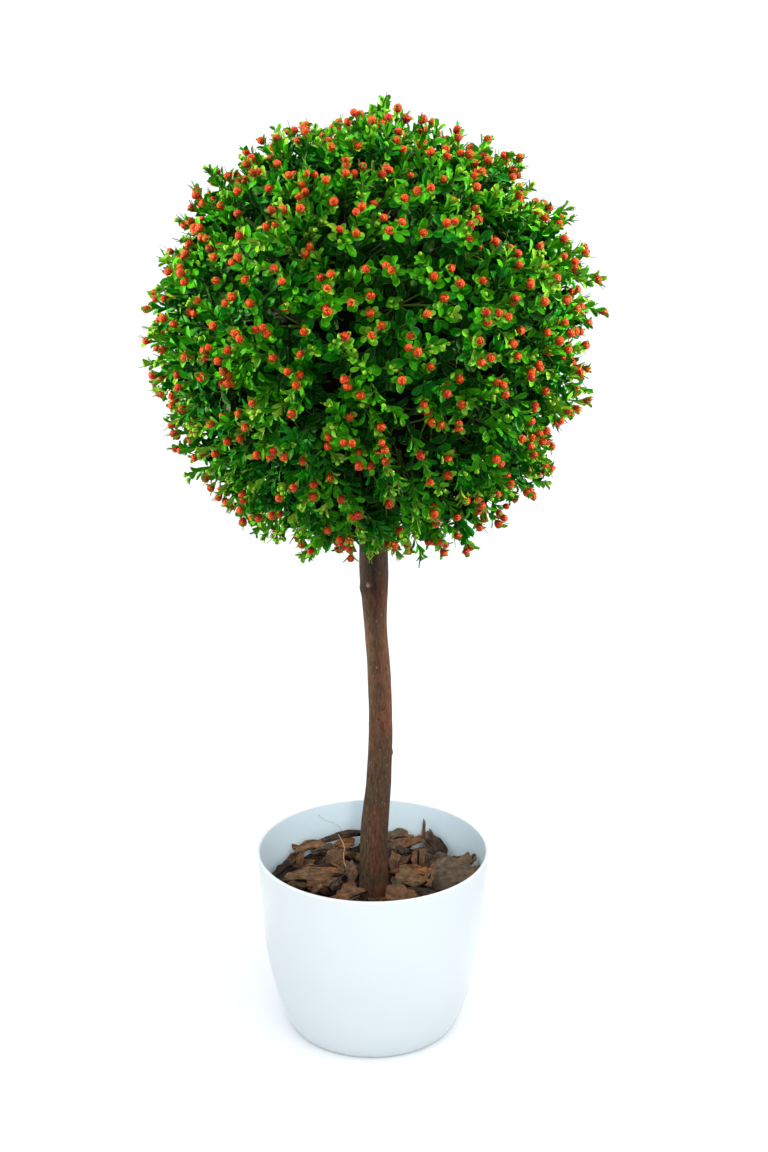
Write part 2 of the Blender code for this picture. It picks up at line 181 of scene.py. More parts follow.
class BarkSettings(bpy.types.PropertyGroup):
    """The bark chips in the planter."""

    litter: IntProperty(
        name="Small chips", description="Small chips to a square metre", min=0, max=9000, default=1700
    )
    fibre: length("Fibre width", "Width of the fibres along a chip", 0.0011)
    seed: IntProperty(name="Seed", description="Start of the random choices", min=0, default=5)
    red: tint("Red chips", "Light colour of the reddish chips", "#745640")
    tan: tint("Tan chips", "Light colour of the tan chips", "#80654A")
    grey: tint("Grey chips", "Light colour of the weathered chips", "#6D5E4C")
    damp: tint("Damp chips", "Light colour of the darkest chips", "#4C3E36")
    inner: tint("Broken bark", "Colour where the chips broke open", "#98643F")
    dark: tint("Chip shadow", "Colour between the layers", "#160C07")
    thread: tint("Torn fibre", "Colour of the loose threads", "#B09878")


class CrownSettings(bpy.types.PropertyGroup):
    """The ball of foliage."""

    twigs: IntProperty(
        name="Twigs", description="Leafy twigs over the whole ball", min=50, max=1600, default=1200
    )
    leaf_length: length("Leaf length", "Length of a full-grown leaf", 0.0162)
    leaf_width: length("Leaf width", "Width of a full-grown leaf", 0.0077)
    berry_width: length("Berry width", "Width of a berry", 0.0084)
    berry_share: FloatProperty(
        name="Berry share", description="Share of the twigs that end in a berry", subtype="FACTOR",
        min=0, max=1, default=0.72,
    )
    seed: IntProperty(name="Seed", description="Start of the random choices", min=0, default=23)
    deep: tint("Deep green", "Older leaves", "#085800")
    forest: tint("Forest green", "Older leaves of the darker sprays", "#002E00")
    middle: tint("Middle green", "Full-grown leaves", "#2A7604")
    fresh: tint("Fresh green", "Younger leaves", "#468214")
    bluish: tint("Bluish green", "Leaves of the cooler sprays", "#0C5C12")
    lime: tint("Lime green", "Leaflets round the berries", "#608A20")
    yellow: tint("Yellow green", "Leaflets of the lighter sprays", "#6E9028")
    orange: tint("Orange berry", "Most of the berries", "#DE580E")
    red: tint("Red berry", "The riper berries", "#C03C0A")
    stem: tint("Sprig stem", "Moulded stems of the sprigs", "#3E5A1C")
    frame: tint("Ball frame", "The moulded ball inside the crown", "#020502")


class StageSettings(bpy.types.PropertyGroup):
    """Floor, light and camera."""

    floor: tint("Floor", "The pale floor", "#FCFCFC")
    sky: tint("Sky", "The even light from all round", "#F3F8FC")
    sky_strength: FloatProperty(name="Sky strength", description="Strength of the even light", default=1.10)
    front_power: FloatProperty(
        name="Front light", description="Power of the wide soft light in front", subtype="POWER", default=15
    )
    spot_power: FloatProperty(
        name="Spots", description="Power of the soft spots on the ball", subtype="POWER", default=250
    )
    focal_length: FloatProperty(
        name="Focal length", description="Camera lens, in millimetres", default=78.125
    )


# Mesh and node helpers


def unit(value):
    """A value held between 0 and 1."""
    return min(1, max(0, value))


def feed(node, inputs):
    """Sets inputs, by name or number, to a value, a socket, or the first live output of another node."""
    for name, value in inputs.items():
        socket = node.inputs[name]
        if isinstance(value, bpy.types.Node):
            value = next(output for output in value.outputs if output.enabled)
        if isinstance(value, bpy.types.NodeSocket):
            node.id_data.links.new(value, socket)
        else:
            socket.default_value = (*value, 1) if socket.type == "RGBA" else value


def add(tree, kind, inputs=None, **settings):
    """Adds a node with its settings and inputs; a kind that names no family is a shader node."""
    node = tree.nodes.new(kind if "Node" in kind else "ShaderNode" + kind)
    for name, value in settings.items():
        setattr(node, name, value)
    feed(node, inputs or {})
    return node


def new_material(name, roughness, ior, specular=0.5):
    """A named material, what adds nodes to it, its shader, and its object coordinates."""
    made = bpy.data.materials.new(name)
    made.use_nodes = True
    node = partial(add, made.node_tree)
    shader = made.node_tree.nodes["Principled BSDF"]
    feed(shader, {"Roughness": roughness, "IOR": ior, "Specular IOR Level": specular})
    return made, node, shader, node("TexCoord").outputs["Object"]


def shown(name, mesh, *nodes, slot):
    """Puts a finished mesh into the scene as the piece that stands for these nodes."""
    mesh.name = name
    piece = bpy.data.objects.new(name, mesh)
    bpy.context.scene.collection.objects.link(piece)
    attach(piece, "root")
    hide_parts(*nodes)


def mesh_of(name, points, faces, edges=(), smooth=True):
    """A mesh of its own points, with its faces smooth unless told otherwise."""
    mesh = bpy.data.meshes.new(name)
    mesh.from_pydata([tuple(point) for point in points], list(edges), faces)
    mesh.update()
    if faces and smooth:
        mesh.shade_smooth()
    return mesh


def mark(mesh, name, values, kind="FLOAT"):
    """Gives the points of a mesh an attribute."""
    marks = mesh.attributes.new(name, kind, "POINT").data
    marks.foreach_set("value" if kind == "FLOAT" else "vector", values)


def lay_map(mesh, name, places):
    """Gives a mesh a UV map, with one place for each of its points."""
    layer = mesh.uv_layers.new(name=name)
    for corner in mesh.loops:
        layer.data[corner.index].uv = places[corner.vertex_index]


def round_point(angle, radius, height=0):
    """A point so far round Z, from +X to the left."""
    return Vector((radius * math.cos(angle), radius * math.sin(angle), height))


def rings(profile, sides):
    """Points round Z for each (radius, height) of a profile."""
    angles = [2 * math.pi * side / sides for side in range(sides)]
    return [round_point(angle, radius, height) for radius, height in profile for angle in angles]


def ring_faces(rows, sides, closed_rows=False):
    """Faces of a grid of rings, counted up along the rings' axis and round to the left."""
    faces = []
    for row in range(rows if closed_rows else rows - 1):
        here, above = row * sides, (row + 1) % rows * sides
        for side in range(sides):
            after = (side + 1) % sides
            faces.append((here + side, here + after, above + after, above + side))
    return faces


def turned(name, profile, sides, uneven=None):
    """A closed ring of revolution about Z from a loop of (radius, height) points."""
    points = rings(profile, sides)
    if uneven:
        points = [uneven(point) for point in points]
    return mesh_of(name, points, ring_faces(len(profile), sides, closed_rows=True))


def pole_capped(name, profile, sides):
    """A solid of revolution about Z from points that run up, closed by a point at each end."""
    poles = [Vector((0, 0, height)) for _, height in (profile[0], profile[-1])]
    points = [poles[0], *rings(profile[1:-1], sides), poles[1]]
    faces = [tuple(i + 1 for i in face) for face in ring_faces(len(profile) - 2, sides)]
    top = len(points) - 1
    for side in range(sides):
        after = (side + 1) % sides
        faces.append((0, after + 1, side + 1))
        faces.append((top - sides + side, top - sides + after, top))
    return mesh_of(name, points, faces)


def joined(name, meshes):
    """One mesh of several, with their UV maps kept."""
    work = bmesh.new()
    for mesh in meshes:
        work.from_mesh(mesh)
        bpy.data.meshes.remove(mesh)
    mesh = bpy.data.meshes.new(name)
    work.to_mesh(mesh)
    work.free()
    mesh.shade_smooth()
    return mesh


def grown(name, carrier, tree, **values):
    """Runs a node tree on a carrier mesh, and gives what it makes as a plain mesh."""
    holder = bpy.data.objects.new(name, carrier)
    bpy.context.scene.collection.objects.link(holder)
    modifier = holder.modifiers.new("Grow", "NODES")
    modifier.node_group = tree
    for socket in tree.interface.items_tree:
        if socket.in_out == "INPUT" and socket.name in values:
            modifier[socket.identifier] = values[socket.name]
    result = holder.evaluated_get(bpy.context.evaluated_depsgraph_get())
    mesh = bpy.data.meshes.new_from_object(result)
    holder.modifiers.clear()
    bpy.data.objects.remove(holder)
    return mesh


def templates(name, meshes):
    """Shapes for a node tree to repeat; they aren't shown themselves."""
    shapes = bpy.data.collections.new(name)
    bpy.context.scene.collection.children.link(shapes)
    for number, mesh in enumerate(meshes):
        shapes.objects.link(bpy.data.objects.new(f"{name} {number}", mesh))
    return shapes


def put_away(shapes):
    """Takes the shapes out of the scene once their copies are made."""
    for shape in list(shapes.objects):
        bpy.data.objects.remove(shape)
    bpy.data.collections.remove(shapes)


def new_tree(name, **inputs):
    """A geometry node tree, what adds nodes to it, the sockets of its named inputs, and its output node."""
    tree = bpy.data.node_groups.new(name, "GeometryNodeTree")
    tree.interface.new_socket("Geometry", in_out="INPUT", socket_type="NodeSocketGeometry")
    for label, (kind, default) in inputs.items():
        socket = tree.interface.new_socket(label, in_out="INPUT", socket_type="NodeSocket" + kind)
        if default is not None:
            socket.default_value = default
    tree.interface.new_socket("Geometry", in_out="OUTPUT", socket_type="NodeSocketGeometry")
    node = partial(add, tree)
    return tree, node, node("NodeGroupInput").outputs, node("NodeGroupOutput")


def close_tree(node, geometry, given, out):
    """Makes the copies real and gives them their finish."""
    real = node("GeometryNodeRealizeInstances", {"Geometry": geometry})
    feed(out, {0: node("GeometryNodeSetMaterial", {"Geometry": real, "Material": given["Finish"]})})


def repeat_tree():
    """Repeats one of a few shapes on each of the carrier's points, turned and sized by their attributes."""
    tree, node, given, out = new_tree(
        "Repeat on points", Shapes=("Collection", None), Size=("Float", 1.0), Unevenness=("Float", 0.1),
        Seed=("Int", 0), Finish=("Material", None),
    )
    seed = given["Seed"]
    split = {"Collection": given["Shapes"], "Separate Children": True, "Reset Children": True}
    shapes = node("GeometryNodeCollectionInfo", split)
    pick = node("FunctionNodeRandomValue", {4: 0, 5: 99, "Seed": seed}, data_type="INT")
    turn = node("GeometryNodeInputNamedAttribute", {"Name": "turn"}, data_type="FLOAT_VECTOR")
    size = node("GeometryNodeInputNamedAttribute", {"Name": "size"}, data_type="FLOAT")
    low = node("Math", {0: 1.0, 1: given["Unevenness"]}, operation="SUBTRACT")
    high = node("Math", {0: 1.0, 1: given["Unevenness"]}, operation="ADD")
    chance = node("FunctionNodeRandomValue", {2: low, 3: high, "Seed": seed})
    sized = node("Math", {0: size, 1: chance}, operation="MULTIPLY")
    scaled = node("Math", {0: sized, 1: given["Size"]}, operation="MULTIPLY")
    laid = {"Points": given["Geometry"], "Instance": shapes, "Pick Instance": True, "Instance Index": pick}
    copies = node("GeometryNodeInstanceOnPoints", {**laid, "Rotation": turn, "Scale": scaled})
    close_tree(node, copies, given, out)
    return tree


def tube_tree():
    """Lays a tapering tube along the carrier's edges, as thick as its points say."""
    tree, node, given, out = new_tree(
        "Tubes on edges", Thickness=("Float", 1.0), Sides=("Int", 4), Finish=("Material", None)
    )
    line = node("GeometryNodeMeshToCurve", {"Mesh": given["Geometry"]})
    radius = node("GeometryNodeInputNamedAttribute", {"Name": "radius"}, data_type="FLOAT")
    thick = node("Math", {0: radius, 1: given["Thickness"]}, operation="MULTIPLY")
    circle = node("GeometryNodeCurvePrimitiveCircle", {"Resolution": given["Sides"], "Radius": 1.0})
    section = {"Curve": line, "Profile Curve": circle, "Scale": thick, "Fill Caps": True}
    tube = node("GeometryNodeCurveToMesh", section)
    close_tree(node, node("GeometryNodeSetShadeSmooth", {"Geometry": tube}), given, out)
    return tree


def litter_tree():
    """Strews shapes over the carrier's faces, turned every way about Z and tipped a little."""
    tree, node, given, out = new_tree(
        "Litter on faces", Shapes=("Collection", None), Density=("Float", 1000.0), Tip=("Float", 0.4),
        Lift=("Float", 0.004), Seed=("Int", 0), Finish=("Material", None),
    )
    tip, seed = given["Tip"], given["Seed"]
    ground = {"Mesh": given["Geometry"], "Density": given["Density"], "Seed": seed}
    spots = node("GeometryNodeDistributePointsOnFaces", ground)
    split = {"Collection": given["Shapes"], "Separate Children": True, "Reset Children": True}
    shapes = node("GeometryNodeCollectionInfo", split)
    down = node("Math", {0: tip, 1: -1.0}, operation="MULTIPLY")
    least = node("CombineXYZ", {0: down, 1: down, 2: 0.0})
    most = node("CombineXYZ", {0: tip, 1: tip, 2: 2 * math.pi})
    turn = node("FunctionNodeRandomValue", {0: least, 1: most, "Seed": seed}, data_type="FLOAT_VECTOR")
    size = node("FunctionNodeRandomValue", {2: 0.6, 3: 1.1, "Seed": seed})
    laid = {"Points": spots, "Instance": shapes, "Pick Instance": True, "Rotation": turn, "Scale": size}
    copies = node("GeometryNodeInstanceOnPoints", laid)
    rise = node("FunctionNodeRandomValue", {2: 0.0, 3: given["Lift"], "Seed": seed})
    lifted = node("GeometryNodeSetPosition", {"Geometry": copies, "Offset": node("CombineXYZ", {2: rise})})
    close_tree(node, lifted, given, out)
    return tree


# Finishes


def moulded_white(name, colour, shade, rim):
    """Polypropylene, moulded: a smooth satin white whose faint orange peel breaks up the highlights."""
    made, node, shader, place = new_material(name, 0.33, 1.49)
    cloud = node("TexNoise", {"Vector": place, "Scale": 9.0, "Detail": 2.0})
    mottled = node("Mix", {0: cloud, 6: colour, 7: shade}, data_type="RGBA")
    # Hands rub the rim to a paler white
    level = node("SeparateXYZ", {0: place}).outputs["Z"]
    top = {"From Min": POT_HEIGHT - 0.0030, "From Max": POT_HEIGHT - 0.0012}
    rubbed = node("MapRange", {"Value": level, **top})
    body = node("Mix", {0: rubbed, 6: mottled, 7: rim}, data_type="RGBA")
    # Peel of about 1.5 mm, and handling marks some centimetres long that dull the gloss
    peel = node("TexNoise", {"Vector": place, "Scale": 650.0, "Detail": 1.0})
    marks = node("TexNoise", {"Vector": place, "Scale": 45.0, "Detail": 5.0, "Roughness": 0.7})
    dull = node("MapRange", {"Value": marks, "To Min": 0.27, "To Max": 0.42})
    bump = node("Bump", {"Height": peel, "Strength": 0.12, "Distance": 0.0003})
    feed(shader, {"Base Color": body, "Roughness": dull, "Normal": bump})
    return made


def cast_cement(settings):
    """Cement mortar, cast: grey and dull, with sand of about 1 mm and paler dry patches."""
    made, node, shader, place = new_material("Cement mortar cast", 0.9, 1.5)
    sand = node("TexNoise", {"Vector": place, "Scale": 900.0, "Detail": 3.0})
    patch = node("TexNoise", {"Vector": place, "Scale": 30.0, "Detail": 4.0})
    pale = [min(1, channel * 1.5) for channel in settings.cement]
    colour = node("Mix", {0: patch, 6: settings.cement, 7: pale}, data_type="RGBA")
    bump = node("Bump", {"Height": sand, "Strength": 0.6, "Distance": 0.0008})
    feed(shader, {"Base Color": colour, "Normal": bump})
    return made


def dried_bark(settings):
    """Hardwood bark, dried on the stem: dark with fine long cracks, red in patches, grey on one side."""
    made, node, shader, place = new_material("Hardwood bark dried", 0.62, 1.45, 0.12)
    long_way = node("Mapping", {"Vector": place, "Scale": (1.0, 1.0, 0.22)})
    # Fibres about 1 mm wide and 12 mm long
    fibre = node("TexNoise", {"Vector": long_way, "Scale": 900.0, "Detail": 5.0, "Roughness": 0.62})
    wavy = {"Detail": 4.0, "Roughness": 0.6, "Distortion": 0.2}
    crack = node("TexNoise", {"Vector": long_way, "Scale": 420.0, **wavy})
    patch = node("TexNoise", {"Vector": place, "Scale": 24.0, "Detail": 5.0, "Roughness": 0.6})
    fleck = node("TexNoise", {"Vector": long_way, "Scale": 520.0, "Detail": 3.0, "Roughness": 0.7})
    crack_range = {"Value": crack, "From Min": 0.34, "From Max": 0.60, "To Min": 0.35}
    open_crack = node("MapRange", crack_range, interpolation_type="SMOOTHSTEP")
    patch_range = {"Value": patch, "From Min": 0.40, "From Max": 0.68}
    rubbed = node("MapRange", patch_range, interpolation_type="SMOOTHSTEP")
    # The foot, which stays damp in the chips, is red all round, and the weathered side is the one towards -X
    sides = node("SeparateXYZ", {0: place}).outputs
    damp = node("MapRange", {"Value": sides["Z"], "From Min": 0.174, "From Max": 0.163})
    reddened = node("Math", {0: rubbed, 1: damp}, operation="MAXIMUM")
    body = node("Mix", {0: reddened, 6: settings.brown, 7: settings.red}, data_type="RGBA")
    weathered = node("MapRange", {"Value": sides["X"], "From Min": 0.002, "From Max": -0.014})
    thin = node("Math", {0: weathered, 1: fibre}, operation="MULTIPLY")
    greyed = node("Mix", {0: thin, 6: body, 7: settings.lichen}, data_type="RGBA")
    cracked = node("Mix", {0: open_crack, 6: settings.dark, 7: greyed}, data_type="RGBA")
    spots = node("MapRange", {"Value": fleck, "From Min": 0.63, "From Max": 0.74})
    flecked = node("Mix", {0: spots, 6: cracked, 7: settings.pale}, data_type="RGBA")
    shade = node("MapRange", {"Value": fibre, "To Min": 0.20, "To Max": 1.65})
    # Just under the ball the bark is unworn and nearly black
    under = {"From Min": 0.455, "From Max": 0.512, "To Min": 1.0, "To Max": 0.26}
    unworn = node("MapRange", {"Value": sides["Z"], **under})
    shades = node("Math", {0: shade, 1: unworn}, operation="MULTIPLY")
    toned = node("VectorMath", {0: flecked, "Scale": shades}, operation="SCALE")
    # Side shoots broke off and left pale wood
    bare = node("Attribute", attribute_name="bare").outputs["Fac"]
    bared = node("Mix", {0: bare, 6: toned, 7: settings.pale}, data_type="RGBA")
    rough = node("MapRange", {"Value": crack, "To Min": 0.80, "To Max": 0.48})
    deep = node("Bump", {"Height": open_crack, "Strength": 0.3, "Distance": 0.0006})
    fine = node("Bump", {"Height": fibre, "Strength": 0.6, "Distance": 0.0006, "Normal": deep})
    feed(shader, {"Base Color": bared, "Roughness": rough, "Normal": fine})
    return made


def chip_bark(name, light, split, contrast, inner, dark, fibre_width):
    """Pine bark, chipped and dried: dull, dark between its fibres and layers, and orange along its breaks."""
    made, node, shader, place = new_material(name, 0.82, 1.45, 0.12)
    along = node("UVMap", uv_map="grain")
    stretched = node("Mapping", {"Vector": along, "Scale": (0.15, 1.0, 1.0)})
    fine = {"Scale": 1 / fibre_width, "Detail": 4.0, "Roughness": 0.6}
    fibre = node("TexNoise", {"Vector": stretched, **fine})
    # Dark bands between the layers, three to five fibres apart
    longer = node("Mapping", {"Vector": along, "Scale": (0.06, 1.0, 1.0)})
    wide = {"Scale": 0.32 / fibre_width, "Detail": 3.0, "Distortion": 0.4}
    band = node("TexNoise", {"Vector": longer, **wide})
    patch = node("TexNoise", {"Vector": place, "Scale": 48.0, "Detail": 3.0, "Roughness": 0.6})
    edge = node("Attribute", attribute_name="edge").outputs["Fac"]
    open_bark = node("Math", {0: edge, 1: 0.13, 2: patch}, operation="MULTIPLY_ADD")
    open_range = {"Value": open_bark, "From Min": 0.52, "From Max": 0.76}
    broken = node("MapRange", open_range, interpolation_type="SMOOTHSTEP")
    body = node("Mix", {0: broken, 6: light, 7: inner}, data_type="RGBA")
    band_range = {"Value": band, "From Min": split - 0.08, "From Max": split}
    lit = node("MapRange", band_range, interpolation_type="SMOOTHSTEP")
    banded = node("Mix", {0: lit, 6: dark, 7: body}, data_type="RGBA")
    middle = {"From Min": 0.3, "From Max": 0.7}
    tones = {"To Min": 1 - contrast, "To Max": 1 + 0.8 * contrast}
    tone = node("MapRange", {"Value": fibre, **middle, **tones})
    # Low in the bed the chips stay damp and darker
    level = node("SeparateXYZ", {0: place}).outputs["Z"]
    depth = {"From Min": 0.157, "From Max": 0.171, "To Min": 0.15, "To Max": 1.0}
    dried = node("MapRange", {"Value": level, **depth})
    worn = node("TexNoise", {"Vector": place, "Scale": 130.0, "Detail": 3.0, "Roughness": 0.6})
    faded = node("MapRange", {"Value": worn, **middle, "To Min": 0.45, "To Max": 1.15})
    both = node("Math", {0: tone, 1: dried}, operation="MULTIPLY")
    all_three = node("Math", {0: both, 1: faded}, operation="MULTIPLY")
    toned = node("VectorMath", {0: banded, "Scale": all_three}, operation="SCALE")
    deep = node("Bump", {"Height": lit, "Strength": 0.6, "Distance": 0.0008})
    bump = node("Bump", {"Height": fibre, "Strength": 0.6, "Distance": 0.0006, "Normal": deep})
    feed(shader, {"Base Color": toned, "Normal": bump})
    return made


def bark_fines(settings):
    """Pine bark fines, settled: nearly black crumbs of 2 to 4 mm that only show between the chips."""
    made, node, shader, place = new_material("Pine bark fines settled", 0.95, 1.45)
    crumbs = node("TexVoronoi", {"Vector": place, "Scale": 320.0, "Randomness": 1.0})
    brown = [0.4 * channel for channel in settings.red]
    black = [0.5 * channel for channel in settings.dark]
    colour = node("Mix", {0: crumbs, 6: brown, 7: black}, data_type="RGBA")
    bump = node("Bump", {"Height": crumbs, "Strength": 1.0, "Distance": 0.002}, invert=True)
    feed(shader, {"Base Color": colour, "Normal": bump})
    return made


def torn_fibre(settings):
    """Pine bast, torn off in threads: pale tan, dull, with darker stretches."""
    made, node, shader, place = new_material("Pine bast torn", 0.85, 1.45)
    cloud = node("TexNoise", {"Vector": place, "Scale": 220.0, "Detail": 2.0})
    tone = node("MapRange", {"Value": cloud, "To Min": 0.4, "To Max": 1.3})
    toned = node("VectorMath", {0: settings.thread, "Scale": tone}, operation="SCALE")
    feed(shader, {"Base Color": toned})
    return made


def moulded_leaf(name, colour, rim, roughness):
    """Polyethylene leaf, moulded: a waxy gloss, a paler rim and midrib, and veins pressed into the blade."""
    made, node, shader, place = new_material(name, roughness, 1.5, 0.035)
    # Across runs from 0 at one edge to 1 at the other, with the midrib at 0.5
    blade = node("SeparateXYZ", {0: node("UVMap", uv_map="blade")}).outputs
    off_middle = node("Math", {0: blade["X"], 1: 0.5}, operation="SUBTRACT")
    from_rib = node("Math", {0: off_middle}, operation="ABSOLUTE")
    edge = node("MapRange", {"Value": from_rib, "From Min": 0.38, "From Max": 0.48})
    rib = node("MapRange", {"Value": from_rib, "From Min": 0.07, "From Max": 0.02})
    faint_rib = node("Math", {0: rib, 1: 0.35}, operation="MULTIPLY")
    pale_edge = node("Math", {0: edge, 1: 0.85}, operation="MULTIPLY")
    pale = node("Math", {0: pale_edge, 1: faint_rib}, operation="MAXIMUM")
    mottle = node("TexNoise", {"Vector": place, "Scale": 160.0, "Detail": 2.0})
    tones = {"From Min": 0.3, "From Max": 0.7, "To Min": 0.72, "To Max": 1.25}
    tone = node("MapRange", {"Value": mottle, **tones})
    body = node("VectorMath", {0: colour, "Scale": tone}, operation="SCALE")
    tinted = node("Mix", {0: pale, 6: body, 7: rim}, data_type="RGBA")
    # Side veins slant towards the tip, six to a leaf
    slant = node("Math", {0: from_rib, 1: -0.8, 2: blade["Y"]}, operation="MULTIPLY_ADD")
    veins = node("Math", {0: slant, 1: 38.0}, operation="MULTIPLY")
    wave = node("Math", {0: veins}, operation="SINE")
    height = node("Math", {0: rib, 1: 2.5, 2: wave}, operation="MULTIPLY_ADD")
    bump = node("Bump", {"Height": height, "Strength": 0.35, "Distance": 0.0002})
    feed(shader, {"Base Color": tinted, "Normal": bump})
    return made


def lacquered_berry(name, colour, shadow):
    """Foam berry, lacquered: satin orange on top, redder towards the stalk, with dimples 1 mm wide."""
    made, node, shader, place = new_material(name, 0.40, 1.5, 0.12)
    pits = node("TexVoronoi", {"Vector": place, "Scale": 620.0, "Randomness": 0.8})
    depth = node("MapRange", {"Value": pits, "From Min": 0.1, "From Max": 0.6})
    up = node("SeparateXYZ", {0: node("UVMap", uv_map="blade")}).outputs["Y"]
    low = node("MapRange", {"Value": up, "From Min": 0.90, "From Max": 0.35})
    shaded = node("Math", {0: depth, 1: low}, operation="MAXIMUM")
    tinted = node("Mix", {0: shaded, 6: colour, 7: shadow}, data_type="RGBA")
    bump = node("Bump", {"Height": depth, "Strength": 0.9, "Distance": 0.0008}, invert=True)
    feed(shader, {"Base Color": tinted, "Normal": bump})
    return made


def moulded_sprig(name, colour, roughness):
    """Polyethylene, moulded: a dull green that goes lighter and darker along the sprig."""
    made, node, shader, place = new_material(name, roughness, 1.5, 0.06)
    cloud = node("TexNoise", {"Vector": place, "Scale": 70.0, "Detail": 3.0})
    tone = node("MapRange", {"Value": cloud, "To Min": 0.4, "To Max": 1.6})
    toned = node("VectorMath", {0: colour, "Scale": tone}, operation="SCALE")
    ridge = node("TexNoise", {"Vector": place, "Scale": 500.0, "Detail": 1.0})
    bump = node("Bump", {"Height": ridge, "Strength": 0.3, "Distance": 0.0003})
    feed(shader, {"Base Color": toned, "Normal": bump})
    return made


def painted_floor(settings):
    """Board, painted matt: pale, with the faintest cloudiness."""
    made, node, shader, place = new_material("Board painted matt", 0.9, 1.5)
    cloud = node("TexNoise", {"Vector": place, "Scale": 0.8, "Detail": 2.0})
    tone = node("MapRange", {"Value": cloud, "To Min": 0.985, "To Max": 1.0})
    toned = node("VectorMath", {0: settings.floor, "Scale": tone}, operation="SCALE")
    feed(shader, {"Base Color": toned})
    return made


# Planter


def pot_radius(height):
    """The planter's outer radius: a rounded bowl up to the shoulder, then a nearly straight side."""
    shoulder = POT_RIM_RADIUS - POT_SIDE_SLOPE * (POT_HEIGHT - POT_SHOULDER_HEIGHT)
    if height >= POT_SHOULDER_HEIGHT:
        return shoulder + POT_SIDE_SLOPE * (height - POT_SHOULDER_HEIGHT)
    down = 1 - height / POT_SHOULDER_HEIGHT
    rise = (1 - down**POT_BOWL_POWER) ** (1 / POT_BOWL_POWER)
    return POT_FOOT_RADIUS + (shoulder - POT_FOOT_RADIUS) * rise


def inner_radius(height):
    """The radius inside the planter's wall."""
    return pot_radius(height) - POT_WALL


def planter_profile(settings):
    """The planter's section: up the outside, over the rim, down the inside, and under the floor."""
    outside = [(POT_FLAT_RADIUS, 0.0), (POT_FLAT_RADIUS + 0.0012, 0.0003)]
    rises = [0.0012, 0.0025, 0.0045, 0.0075, 0.0115]
    rises += [0.0115 + 0.0055 * step for step in range(1, 36)]
    outside += [(pot_radius(height), height) for height in rises]
    # The rim's round top, from the outside in
    half = POT_WALL / 2
    middle = POT_RIM_RADIUS - half
    for step in range(9):
        angle = math.pi * step / 8
        height = POT_HEIGHT - RIM_DROP + RIM_RISE * math.sin(angle)
        outside.append((middle + half * math.cos(angle), height))
    falls = [POT_HEIGHT - step * 0.004 for step in range(1, 49)]
    inside = [(inner_radius(height), height) for height in falls]
    inside += [(inner_radius(0.012) - 0.008, POT_FLOOR), (0.012, POT_FLOOR)]
    # The underside, with its drain hole, moulding gate ring and foot ring
    recess = settings.foot_recess
    under = [(0.009, POT_FLOOR), (0.009, recess), (0.016, recess), (0.0165, recess - 0.0004)]
    under += [(0.0185, recess - 0.0004), (0.019, recess), (0.045, recess), (0.0455, recess + 0.0004)]
    under += [(0.0475, recess + 0.0004), (0.048, recess), (0.0765, recess), (0.0775, 0.0002), (0.0780, 0.0)]
    return outside + inside + under


class TOPIARY_OT_planter(bpy.types.Operator):
    """Make the moulded planter, and finish the cement in it"""

    bl_idname = "topiary.planter"
    bl_label = "Planter"

    def execute(self, context):
        settings = context.scene.topiary_planter
        white, rim = "Polypropylene moulded white", settings.rim
        mesh = turned("planter", planter_profile(settings), settings.segments)
        mesh.set_sharp_from_angle(angle=math.radians(40))
        mesh.materials.append(moulded_white(white, settings.colour, settings.shade, rim))
        mesh.materials.append(moulded_white(white + " inside", settings.inside, settings.inside_shade, rim))
        for face in mesh.polygons:
            inwards = face.center.x * face.normal.x + face.center.y * face.normal.y < 0
            face.material_index = int(inwards and face.center.z > POT_FLOOR)
        shown("planter", mesh, "pot", slot="pot")
        plug = frame["nodes"]["cement_plug"]
        plug.data.materials.clear()
        plug.data.materials.append(cast_cement(settings))
        return {"FINISHED"}


# Stem


def trunk_at(height):
    """The trunk's middle and radius at a height, on a smooth curve through its stations."""
    height = min(max(height, TRUNK_STATIONS[0][0]), TRUNK_STATIONS[-1][0])
    last = len(TRUNK_STATIONS) - 1
    index = max(i for i in range(last) if TRUNK_STATIONS[i][0] <= height)
    before, here = TRUNK_STATIONS[max(index - 1, 0)], TRUNK_STATIONS[index]
    there, after = TRUNK_STATIONS[index + 1], TRUNK_STATIONS[min(index + 2, last)]
    span = there[0] - here[0]
    t = (height - here[0]) / span
    values = []
    for part in (1, 2, 3):
        leave = (there[part] - before[part]) / (there[0] - before[0]) * span
        arrive = (after[part] - here[part]) / (after[0] - here[0]) * span
        value = (2 * t**3 - 3 * t**2 + 1) * here[part] + (t**3 - 2 * t**2 + t) * leave
        value += (3 * t**2 - 2 * t**3) * there[part] + (t**3 - t**2) * arrive
        values.append(value)
    return Vector((values[0], values[1], height)), values[2] / 2


# Scars of side shoots: height, direction in degrees, radius, and how far each stands out
SHOOT_SCARS = (
    (0.508, 205, 0.0085, 0.0020),
    (0.462, 320, 0.0055, 0.0012),
    (0.385, 60, 0.0060, 0.0014),
    (0.318, 250, 0.0050, 0.0010),
    (0.262, 150, 0.0060, 0.0013),
    (0.212, 20, 0.0070, 0.0015),
    (0.420, 130, 0.0050, 0.0010),
    (0.570, 340, 0.0060, 0.0012),
)
# Side shoots that broke off and left pale wood, in the same order
BROKEN_SHOOTS = ((0.515, 246, 0.0030, 0.0014), (0.320, 352, 0.0032, 0.0016))
STEM_SIDES, STEM_ROWS = 56, 300
# How far the relief stands in and out of the trunk's round, and how fast it fades into the cement
STEM_INSET, RELIEF_LIMIT, BURIAL_FADE = 0.0002, 0.0018, 0.03


